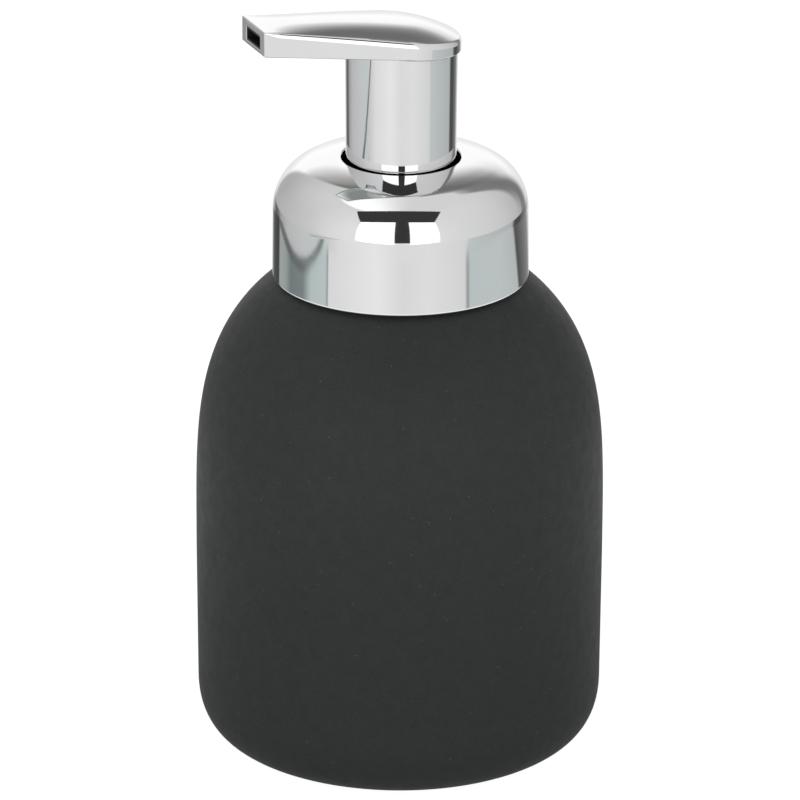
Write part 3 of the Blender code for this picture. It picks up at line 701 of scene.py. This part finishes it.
def crease_side(share):
    """One side of the plan moved inwards by a share of the crease's width at each point."""
    return [outer.lerp(inner, share * crease_scale(outer.y))
            for outer, inner in zip(plan_side(0.0), plan_side(CREASE_WIDTH))]


def loop_at(mesh, side, height_at):
    """The whole plan as a loop: left side from the rear, across the tip, right side to the rear."""
    left = [Vector((-point.x, point.y)) for point in side[:0:-1]]
    tip = side[0]
    front = [Vector((tip.x * (2.0 * step / ACROSS_HEAD - 1.0), tip.y))
             for step in range(ACROSS_HEAD + 1)]
    return [mesh.verts.new((point.x, point.y, height_at(point.x, point.y)))
            for point in left + front + side[1:-1]]


def low_loop(mesh, side, rise):
    """The plan's loop at this rise above the head's underside."""
    return loop_at(mesh, side, lambda x, y: under_height(y) + rise)


def domed_grid(mesh, side, drop):
    """Grid over the plan with this side, drop below the head's top; its border in order."""
    rows = []
    for point in side[:-1]:
        row = []
        for step in range(ACROSS_HEAD + 1):
            x = point.x * (2.0 * step / ACROSS_HEAD - 1.0)
            row.append(mesh.verts.new((x, point.y, top_height(x, point.y) - drop)))
        rows.append(row)
    rows.append([mesh.verts.new((0.0, side[-1].y, top_height(0.0, side[-1].y) - drop))])
    for row, following in zip(rows, rows[1:]):
        for step in range(ACROSS_HEAD):
            corners = [row[step], row[step + 1], following[min(step + 1, len(following) - 1)],
                       following[min(step, len(following) - 1)]]
            mesh.faces.new(list(dict.fromkeys(corners)))
    left = [row[0] for row in rows[:0:-1]]
    right = [row[-1] for row in rows[1:-1]]
    return left + rows[0] + right


def capped(mesh, rings):
    """Bridge the rings in order and close both ends."""
    bridge(mesh, rings)
    mesh.faces.new(rings[0])
    mesh.faces.new(rings[-1])
    return mesh


def rounded_ring(mesh, y, centre_z, half_x, half_z, corner, flare=0.0):
    """A rectangle with rounded corners in the plane of this y; flare widens it all round."""
    ring = []
    for quarter, (side, rise) in enumerate(((1, 1), (-1, 1), (-1, -1), (1, -1))):
        for step in range(5):
            angle = 0.5 * math.pi * (quarter + step / 4)
            x = side * (half_x - corner) + (corner + flare) * math.cos(angle)
            z = rise * (half_z - corner) + (corner + flare) * math.sin(angle)
            ring.append(mesh.verts.new((x, y, centre_z + z)))
    return ring


def outlet_cutter():
    """A rounded slot whose mouth flares at the end face."""
    mesh = bmesh.new()
    face_y = -SPOUT_REACH
    centre_z = under_height(face_y) + OUTLET_SILL + 0.5 * OUTLET_H
    corner = 0.35 * MM
    depths = [(-1.0 * MM, OUTLET_LIP), (0.0, OUTLET_LIP)]
    for step in range(1, 5):
        angle = 0.5 * math.pi * step / 4
        depths.append((OUTLET_LIP * math.sin(angle), OUTLET_LIP * (1 - math.sin(angle))))
    depths.append((2.0 * MM, 0.0))
    rings = [rounded_ring(mesh, face_y + depth, centre_z, 0.5 * OUTLET_W, 0.5 * OUTLET_H,
                          corner, flare) for depth, flare in depths]
    return capped(mesh, rings)


def combine(first, second, operation):
    """The boolean of two meshes, which are both used up."""
    items = []
    for mesh in (first, second):
        bmesh.ops.recalc_face_normals(mesh, faces=mesh.faces)
        data = bpy.data.meshes.new("combined")
        mesh.to_mesh(data)
        mesh.free()
        items.append(bpy.data.objects.new("combined", data))
        bpy.context.scene.collection.objects.link(items[-1])
    modifier = items[0].modifiers.new("combine", "BOOLEAN")
    modifier.operation = operation
    modifier.solver = "EXACT"
    modifier.object = items[1]
    bpy.context.view_layer.update()
    result = bmesh.new()
    result.from_object(items[0], bpy.context.evaluated_depsgraph_get())
    for item in items:
        bpy.data.objects.remove(item, do_unlink=True)
    bmesh.ops.dissolve_degenerate(result, dist=0.003 * MM, edges=result.edges)
    return result


def make_head_shell():
    """The chrome head: side wall with rounded crease and rim, domed top, outlet."""
    mesh = bmesh.new()
    steps = 7
    inner_side = plan_side(HEAD_WALL)
    rings = [domed_grid(mesh, inner_side, HEAD_WALL), low_loop(mesh, inner_side, 0.0)]
    for step in range(steps):
        angle = 0.5 * math.pi * step / (steps - 1)
        inset = RIM_R * (1.0 - math.sin(angle))
        rise = RIM_R * (1.0 - math.cos(angle))
        rings.append(low_loop(mesh, plan_side(inset), rise))
    for step in range(steps):
        angle = 0.5 * math.pi * step / steps
        drop = CREASE_DROP * (1.0 - math.sin(angle))
        rings.append(loop_at(mesh, crease_side(1.0 - math.cos(angle)),
                             lambda x, y: top_height(x, y) - drop * crease_scale(y)))
    rings.append(domed_grid(mesh, crease_side(1.0), 0.0))
    bridge(mesh, rings)
    mesh = combine(mesh, outlet_cutter(), "DIFFERENCE")
    add_piece("head_shell", mesh, "head", "head_cover", "chrome", "chrome_head")


def round_loop(mesh, loop, radius, height_at):
    """A circle with one vertex on the ray to each vertex of a loop."""
    ring = []
    for vert in loop:
        angle = math.atan2(vert.co.y, vert.co.x)
        x, y = radius * math.cos(angle), radius * math.sin(angle)
        ring.append(mesh.verts.new((x, y, height_at(y))))
    return ring


def make_head_plate():
    """The plate under the head, with the ring that centres the sleeve."""
    mesh = bmesh.new()
    spigot_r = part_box("sleeve")[1].x - SLEEVE_WALL - GAP - SPIGOT_FIT
    spigot_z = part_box("head_base")[0].z
    boss_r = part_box("foam_duct")[1].x + GAP
    low_rise, high_rise, edge = 0.1 * MM, 0.7 * MM, 0.15 * MM
    inset = HEAD_WALL + GAP

    def lower(y):
        return under_height(y) + low_rise

    low = low_loop(mesh, plan_side(inset + edge), low_rise)
    rings = [
        low,
        round_loop(mesh, low, spigot_r, lower),
        round_loop(mesh, low, spigot_r, lambda y: spigot_z + edge),
        round_loop(mesh, low, spigot_r - edge, lambda y: spigot_z),
        round_loop(mesh, low, spigot_r - SPIGOT_WALL, lambda y: spigot_z),
        round_loop(mesh, low, spigot_r - SPIGOT_WALL, lower),
        round_loop(mesh, low, boss_r, lower),
        round_loop(mesh, low, boss_r, lambda y: under_height(y) + high_rise),
        low_loop(mesh, plan_side(inset), high_rise),
        low_loop(mesh, plan_side(inset), low_rise + edge)]
    bridge(mesh, rings, closed=True)
    add_piece("head_plate", mesh, "head", "head_base", "chrome", "chrome_head")


def make_sleeve_tube():
    """The chrome tube; its upper end is cut to the slope of the head's underside."""
    low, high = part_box("sleeve")
    top_r = high.x
    edge = 0.25 * MM

    def outline_at(angle):
        slope = math.sin(angle)
        outer_z = under_height(top_r * slope) - GAP
        inner_z = under_height((top_r - SLEEVE_WALL) * slope) - GAP
        return (arc(SLEEVE_LOW_R - SLEEVE_WALL + edge, low.z + edge, edge, edge, 180, 270, 4)
                + arc(SLEEVE_LOW_R - edge, low.z + edge, edge, edge, -90, 0, 5)
                + [(top_r, outer_z), (top_r - SLEEVE_WALL, inner_z)])

    mesh = turned_mesh(outline_at, FINE_COLUMNS)
    add_piece("sleeve_tube", mesh, "head", "sleeve", "chrome")


def boss_plug(radius, low_z, rise):
    """A plug on the axis whose top follows the slope of the head's underside."""
    edge = 0.2 * MM

    def outline_at(angle):
        top_z = under_height(radius * math.sin(angle)) + rise
        return [(0.0, low_z), (radius - edge, low_z), (radius, low_z + edge),
                (radius, top_z - edge), (radius - edge, top_z), (0.0, under_height(0.0) + rise)]

    return turned_mesh(outline_at, INNER_COLUMNS)


def flat_tube(width, low, high, near_y, far_y, corner):
    """A bar of rounded rectangular section that follows the slope of the head's underside."""
    mesh = bmesh.new()
    rings = [rounded_ring(mesh, y, under_height(y) + 0.5 * (low + high), 0.5 * width,
                          0.5 * (high - low), corner) for y in (near_y, far_y)]
    return capped(mesh, rings)


def make_duct_tube():
    """The black duct: the tube round the foaming unit and the flat passage to the outlet."""
    low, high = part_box("foam_duct")
    outer_r = high.x
    bore_r = outer_r - 0.9 * MM
    width = OUTLET_W - 2 * DUCT_FIT
    under, over = OUTLET_SILL + DUCT_FIT, OUTLET_SILL + OUTLET_H - DUCT_FIT
    tip_y = 0.1 * MM - SPOUT_REACH
    duct = boss_plug(outer_r, low.z, DUCT_TOP)
    duct = combine(duct, flat_tube(width, under, over, -3.0 * MM, tip_y, 0.6 * MM), "UNION")
    bore = boss_plug(bore_r, low.z - 1.0 * MM, DUCT_TOP - DUCT_WALL)
    duct = combine(duct, bore, "DIFFERENCE")
    passage = flat_tube(width - 2 * DUCT_WALL, under + DUCT_WALL, over - DUCT_WALL,
                        -3.6 * MM, low.y - 1.0 * MM, 0.4 * MM)
    duct = combine(duct, passage, "DIFFERENCE")
    add_piece("duct_tube", duct, "head", "foam_duct", "black_plastic")


# ---------- inside the pump

def node_outline(name):
    """The closed (r, z) outline of a turned CAD node, read where it crosses the +X half-plane."""
    data = frame["nodes"][name].data

    def key(point):
        return (round(point.x, 6), round(point.z, 6))

    links = {}
    for edge in data.edges:
        ends = [data.vertices[index].co for index in edge.vertices]
        if all(abs(end.y) < ON_AXIS and end.x > -ON_AXIS for end in ends):
            first, last = key(ends[0]), key(ends[1])
            if first != last and not (abs(first[0]) < ON_AXIS and abs(last[0]) < ON_AXIS):
                links.setdefault(first, set()).add(last)
                links.setdefault(last, set()).add(first)
    loose = [point for point, near in links.items() if len(near) == 1]
    start = loose[0] if loose else min(links)
    outline, before = [start], None
    while True:
        following = [point for point in sorted(links[outline[-1]]) if point != before]
        following = [point for point in following if point not in outline[1:]]
        if not following or following[0] == start:
            return outline
        before = outline[-1]
        outline.append(following[0])


def make_turned_insides():
    """Finer turnings of the plain round pieces inside the pump, with eased edges."""
    easing = 0.15 * MM
    slots = {part["node"]: part["material_slot"] for part in frame["record"]["subparts"]}
    for name in ("neck_gasket", "air_cylinder", "cylinder_lid", "spring_seat", "air_piston",
                 "air_valve", "liquid_piston", "stem", "foam_chamber", "lower_mesh", "upper_mesh"):
        outline = eased(node_outline(name), easing)
        mesh = turned_mesh(lambda angle: outline, INNER_COLUMNS)
        material = "screen_cloth" if name.endswith("_mesh") else slots[name]
        add_piece(name + "_fine", mesh, frame["nodes"][name]["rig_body"], name, slots[name],
                  material)


def make_slanted_tube():
    """The dip tube, its lower end cut at a slant."""
    low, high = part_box("dip_tube")
    outer_r = high.x
    bore_r = 2.2 * MM
    slant = 2.5 * MM
    edge = 0.12 * MM

    def outline_at(angle):
        cut_z = low.z + 0.5 * slant * (1.0 - math.cos(angle))
        return [(bore_r, cut_z + edge), (bore_r + edge, cut_z), (outer_r - edge, cut_z),
                (outer_r, cut_z + edge), (outer_r, high.z - edge), (outer_r - edge, high.z),
                (bore_r + edge, high.z), (bore_r, high.z - edge)]

    mesh = turned_mesh(outline_at, INNER_COLUMNS)
    add_piece("slanted_tube", mesh, "pump", "dip_tube", "natural_plastic")


def make_check_balls():
    """The inlet and outlet balls, each on a body of its own."""
    for name in ("inlet_ball", "outlet_ball"):
        low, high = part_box(name)
        radius = 0.5 * (high.z - low.z)
        outline = arc(0.0, low.z + radius, radius, radius, -90, 90, 32)
        outline[0] = (0.0, low.z)
        outline[-1] = (0.0, high.z)
        mesh = turned_mesh(lambda angle: outline, BALL_COLUMNS)
        add_piece(name + "_fine", mesh, name, name, "spring_steel", smooth_angle=60.0)


def make_coil_spring():
    """The return spring: closed end coils and an open middle."""
    low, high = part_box("return_spring")
    turns, dead_turns, dead_pitch = 7.5, 1.0, 0.95 * MM
    wire_r, ground = 0.4 * MM, 0.15 * MM
    coil_r = high.x - wire_r
    sides, steps_per_turn = 16, 48
    bottom, top = low.z + wire_r, high.z - wire_r
    open_pitch = (top - bottom - 2 * dead_turns * dead_pitch) / (turns - 2 * dead_turns)
    mesh = bmesh.new()
    rings = []
    for index in range(int(turns * steps_per_turn) + 1):
        turn = index / steps_per_turn
        dead = min(turn, dead_turns) + max(0.0, turn - turns + dead_turns)
        height = bottom + dead_pitch * dead + open_pitch * (turn - dead)
        angle = 2 * math.pi * turn
        ring = []
        for side in range(sides):
            around = 2 * math.pi * side / sides
            r = coil_r + wire_r * math.cos(around)
            z = height + wire_r * math.sin(around)
            z = min(max(z, low.z + ground), high.z - ground)
            ring.append(mesh.verts.new((r * math.cos(angle), r * math.sin(angle), z)))
        rings.append(ring)
    capped(mesh, rings)
    spring = add_piece("coil_spring", mesh, "pump", "return_spring", "spring_steel",
                       smooth_angle=50.0)
    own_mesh(spring)


make_bottle_skin()
make_neck_thread()
make_cap_skin()
make_collar_cover()
make_sleeve_tube()
make_head_shell()
make_head_plate()
make_duct_tube()
make_turned_insides()
make_slanted_tube()
make_check_balls()
make_coil_spring()


# ---------- studio

# Tones are (degrees, brightness or colour). Degrees of azimuth are measured from the side that
# the camera is on, positive to the camera's right; degrees of elevation from the horizon.
BOARD_GREEN = (0.565, 0.632, 0.625)
# A dark colour: the painted shadow along the board's edge, also used for the dark patch and the
# dark strip
BOARD_DARK_AND_EDGE_SHADOW = (0.10, 0.105, 0.105)
BOARD_SHADE = (0.32, 0.35, 0.345)
TABLE_NEAR = [
    (-180, 0.58), (-170, 0.42), (-160, 0.10), (-143, 0.060), (-140, (0.38, 0.42, 0.41)),
    (-127, (0.36, 0.39, 0.385)), (-117, (0.20, 0.23, 0.23)), (-98, (0.23, 0.26, 0.26)),
    (-88, (0.52, 0.60, 0.59)), (-70.5, BOARD_GREEN), (-69.5, 0.30), (-68.5, 0.34), (-67.5, 0.80),
    (-40, 0.885), (-20, 0.94), (3, 0.81), (25, 0.86), (60, 0.77), (62, 0.36), (63.5, 0.40),
    (65, BOARD_GREEN), (100, (0.59, 0.63, 0.63)), (127.5, (0.53, 0.56, 0.56)), (131, 0.09),
    (150, 0.21), (160, 0.29), (173, 0.92)]
TABLE_FAR = [
    (-180, 1.06), (-170, 0.98), (-162, 0.68), (-155, 0.33), (-148, 0.13), (-141, 0.16),
    (-134, 0.40), (-120, 0.555), (-90, (0.625, 0.645, 0.65)), (-75, (0.615, 0.66, 0.66)),
    (-66, 0.70), (-55, 0.83), (-22, 0.935), (0, 0.83), (25, 0.86), (60, 0.755),
    (63, (0.59, 0.64, 0.63)), (90, (0.53, 0.575, 0.565)), (116, (0.48, 0.52, 0.52)),
    (121, 0.09), (130, 0.075), (147, 0.24), (160, 0.76), (172, 1.06)]
TENT_WALLS = [
    (-180, 1.20), (-163, 1.15), (-157, 0.48), (-144, 0.48), (-127, 0.55), (-112, 0.60),
    (-90, 0.66), (-67, 0.80), (-50, 0.88), (0, 0.88), (37, 0.85), (60, 0.78), (82, 0.74),
    (105, 0.66), (127, 0.55), (134, 0.48), (139, 0.24), (147, 0.22), (154, 0.50), (166, 1.05),
    (180, 1.20)]
TENT_REAR = [
    (-22, 0.70), (-14, 0.78), (-4, 0.88), (5, 0.98), (11, 1.14), (23, 1.12), (28, 0.78),
    (34, (0.50, 0.49, 0.48)), (41, (0.34, 0.33, 0.32)), (48, (0.22, 0.213, 0.207))]

TABLE_RADIUS = 0.52
PAPER_RADIUS = 0.21
SHADE_RADIUS = 0.13
BAY_AZIMUTH = -103.0
BAY_WIDTH = 35.0
BAY_DISTANCE = 0.3160
BAY_DEPTH = 0.0272
BAY_TWIST = 0.0119
SKEW_FROM = 0.30
SKEW_RATE = 204.0
STRIP_TURN = (0.966, 0.258)

TOWARD = (math.sin(CAMERA_AZIMUTH), -math.cos(CAMERA_AZIMUTH), 0.0)
SIDEWAYS = (math.cos(CAMERA_AZIMUTH), math.sin(CAMERA_AZIMUTH), 0.0)


def make_floor():
    """A round white table that sweeps up into a wall far behind, lit from within."""
    flat_r, sweep_r, wall_z, columns = 2.5, 2.5, 5.0, 64
    outline = [(0.0, 0.0)] + arc(flat_r, sweep_r, sweep_r, sweep_r, -90, 0, 24)
    outline += [(flat_r + sweep_r, wall_z)]
    mesh = turned_mesh(lambda angle: outline, columns, closed=False)
    material, tree = new_material("studio_floor")
    tree.surface(Base_Color=tree.mix(tree.noise(0.4, 2.0), 0.15, 0.16), Roughness=0.9,
                 Specular_IOR_Level=0.0, Emission_Color=rgba(1.0), Emission_Strength=0.97)
    floor = add_object("studio_floor", mesh, material)
    floor.location.z = -0.05 * MM
    hide_from(floor, "glossy", "diffuse", "shadow", "transmission")


def hide_from(item, *rays):
    for kind in rays:
        setattr(item, "visible_" + kind, False)


def compass(tree, vector):
    """A vector's parts toward the camera and to its right, and its azimuth in degrees."""
    ahead = tree.dot(vector, TOWARD)
    right = tree.dot(vector, SIDEWAYS)
    return ahead, right, tree.math("DEGREES", tree.math("ARCTAN2", right, ahead))


def tones(tree, degrees, span, stops, stretch=1.0):
    """Tones blended from stops over an angle; span is the whole range, centred on 0 degrees."""
    share = tree.line(degrees, stretch / span, 0.5)
    return tree.ramp(share, [(0.5 + place / span, tone) for place, tone in stops])


def table_top_material():
    """What the chrome sees of the table: white paper in front, a grey-green board at the sides."""
    material, tree = new_material("table_top")
    place = tree.place()
    ahead, right, azimuth = compass(tree, place)
    distance = tree.add("ShaderNodeVectorMath", {0: place}, operation="LENGTH").outputs["Value"]

    # The tones of the near part swing round with the distance at the board's far right corner
    skew = tree.product(tree.math("SUBTRACT", distance, SKEW_FROM),
                        tree.step(azimuth, 95, 112, 0.0, SKEW_RATE))
    near = tones(tree, tree.total(azimuth, skew), 360, TABLE_NEAR, 1.04)
    far = tones(tree, azimuth, 360, TABLE_FAR, 1.016)

    # On the left the board ends in a painted shadow, a dark line along its edge that runs round a
    # bay
    bay = tree.product(tree.total(azimuth, -BAY_AZIMUTH), 1 / BAY_WIDTH)
    steepness = tree.line(bay, BAY_TWIST, BAY_DEPTH)
    shore = tree.line(tree.product(bay, bay), steepness, BAY_DISTANCE)
    beyond = tree.math("SUBTRACT", distance, shore)
    on_left = tree.product(tree.step(azimuth, -138, -134), tree.step(azimuth, -72, -68, 1.0, 0.0))
    edge = tree.product(tree.between(beyond, -0.008, 0.001, 0.0015), on_left)
    past = tree.mix(on_left, tree.step(distance, 0.332, 0.342), tree.step(beyond, -0.001, 0.002))
    colour = tree.mix(past, near, far)
    # Painted shadow along the board's edge
    colour = tree.mix(tree.product(edge, 0.8), colour, BOARD_DARK_AND_EDGE_SHADOW)
    patch = tree.product(tree.between(azimuth, -150, -136, 4.0),
                         tree.step(distance, 0.35, 0.40, 0.6, 0.0))
    colour = tree.mix(tree.product(patch, past), colour, BOARD_DARK_AND_EDGE_SHADOW)

    # A dark strip crosses the left side at a slant
    strip = tree.total(tree.product(right, STRIP_TURN[0]), tree.product(ahead, STRIP_TURN[1]))
    strip = tree.product(tree.between(strip, -0.3345, -0.3225, 0.003),
                         tree.step(distance, 0.345, 0.350), tree.step(ahead, -0.01, 0.01), 0.9)
    colour = tree.mix(strip, colour, BOARD_DARK_AND_EDGE_SHADOW)

    # White paper lies under the bottle, which shades the middle of it
    paper = tree.step(distance, PAPER_RADIUS - 0.02, PAPER_RADIUS + 0.02, 1.0, 0.0)
    colour = tree.mix(paper, colour, 1.05)
    shaded = tree.step(distance, SHADE_RADIUS - 0.02, SHADE_RADIUS + 0.02, 1.0, 0.0)
    colour = tree.mix(shaded, colour, BOARD_SHADE)
    glow = tree.add("ShaderNodeEmission", {"Color": colour, "Strength": 1.0})
    tree.add("ShaderNodeOutputMaterial", {"Surface": glow.outputs[0]})
    return material


def make_table_top():
    """The part of the table that only mirrors see; the camera sees the plain floor instead."""
    mesh = bmesh.new()
    bmesh.ops.create_circle(mesh, cap_ends=True, segments=96, radius=TABLE_RADIUS)
    board = add_object("table_top", mesh, table_top_material())
    board.location.z = -0.02 * MM
    hide_from(board, "camera", "diffuse", "shadow", "transmission")


def rear_screens(tree, azimuth, elevation, walls):
    """The tent's rear: a wall that darkens with height, and a slanted dark screen on its right."""
    behind = tree.math("MAXIMUM", tree.step(azimuth, 144, 158),
                       tree.step(azimuth, -160, -153, 1.0, 0.0))
    colour = tree.mix(behind, walls, tones(tree, elevation, 90, TENT_REAR))
    slant = tree.total(tree.line(azimuth, -0.7, 98.0), elevation)
    screen = tree.product(tree.between(azimuth, 130, 172, 4),
                          tree.step(slant, -10, 30, 0.0, 0.85),
                          tree.step(elevation, 48, 62, 1.0, 0.0))
    return behind, tree.mix(screen, colour, 0.17)


def make_light_tent():
    """World light: a white tent with two softboxes, a dark bar over them and a dim rear."""
    world = bpy.data.worlds.new("light_tent")
    bpy.context.scene.world = world
    tree = Tree(world)
    direction = tree.add("ShaderNodeTexCoord").outputs["Generated"]
    ahead, right, azimuth = compass(tree, direction)
    up = tree.dot(direction, (0.0, 0.0, 1.0))
    elevation = tree.math("DEGREES", tree.math("ARCSINE", up))

    # The walls turn to one grey as they rise; the roof starts higher behind than in front
    walls = tones(tree, azimuth, 360, TENT_WALLS)
    walls = tree.mix(tree.product(tree.step(elevation, 5, 60), 0.75), walls, 0.79)
    behind, colour = rear_screens(tree, azimuth, elevation, walls)
    roof_edge = tree.line(behind, 12.0, 58.0)
    over = tree.step(tree.math("SUBTRACT", elevation, roof_edge), -1.5, 1.5)
    ceiling = tree.mix(tree.step(right, -0.32, 0.12), 1.22, 0.76)
    colour = tree.mix(over, colour, ceiling)
    colour = tree.mix(tree.step(elevation, -40, -22, 1.0, 0.0), colour, 0.45)

    # The softboxes and the bar hang in a plane ahead, one unit away
    front = tree.step(ahead, 0.02, 0.05)
    depth = tree.math("MAXIMUM", ahead, 0.02)
    plane_x = tree.math("DIVIDE", right, depth)
    plane_y = tree.math("DIVIDE", up, depth)

    def panel(colour, left, right_edge, bottom, top, soft, value, flare=0.0):
        """A rectangle straight ahead; flare widens it on both sides for each unit of height."""
        widening = tree.line(plane_y, flare, -flare * bottom)
        inside_left = tree.step(tree.total(plane_x, widening), left - soft, left + soft)
        inside_right = tree.step(tree.math("SUBTRACT", plane_x, widening),
                                 right_edge - soft, right_edge + soft, 1.0, 0.0)
        mask = tree.product(inside_left, inside_right,
                            tree.between(plane_y, bottom, top, soft), front)
        return tree.mix(mask, colour, value)

    bar, box = (0.045, 0.043, 0.042), 1.5
    bottom, middle, top = -0.20, 0.86, 2.52
    outer_left, stem_left, stem_right, outer_right = -0.84, -0.095, 0.145, 0.69
    colour = panel(colour, -0.86, 0.68, middle, top, 0.02, bar, 0.44)
    colour = panel(colour, outer_left, stem_left, bottom, middle, 0.012, box)
    colour = panel(colour, stem_right, outer_right, bottom, middle, 0.012, box)
    colour = panel(colour, stem_left, stem_right, bottom + 0.06, middle + 0.03, 0.008, bar)

    shade = tree.add("ShaderNodeBackground", {"Color": colour, "Strength": 1.0})
    tree.add("ShaderNodeOutputWorld", {"Surface": shade.outputs[0]})


def make_camera():
    data = bpy.data.cameras.new("camera")
    data.lens = CAMERA_LENS
    data.sensor_width = 36.0
    data.clip_start = 0.05
    camera = bpy.data.objects.new("camera", data)
    back = Vector(TOWARD) * math.cos(CAMERA_ELEVATION)
    back.z = math.sin(CAMERA_ELEVATION)
    camera.location = Vector((0.0, 0.0, AIM_HEIGHT)) + back * CAMERA_DISTANCE
    camera.rotation_euler = back.to_track_quat("Z", "Y").to_euler()
    camera.rotation_euler.rotate_axis("Z", CAMERA_ROLL)
    bpy.context.scene.collection.objects.link(camera)
    bpy.context.scene.camera = camera


make_floor()
make_table_top()
make_light_tent()
make_camera()
bpy.context.scene.view_settings.view_transform = "Standard"

for part in frame["record"]["subparts"]:
    for slot in frame["nodes"][part["node"]].material_slots:
        slot.material = MATERIALS[part["material_slot"]]
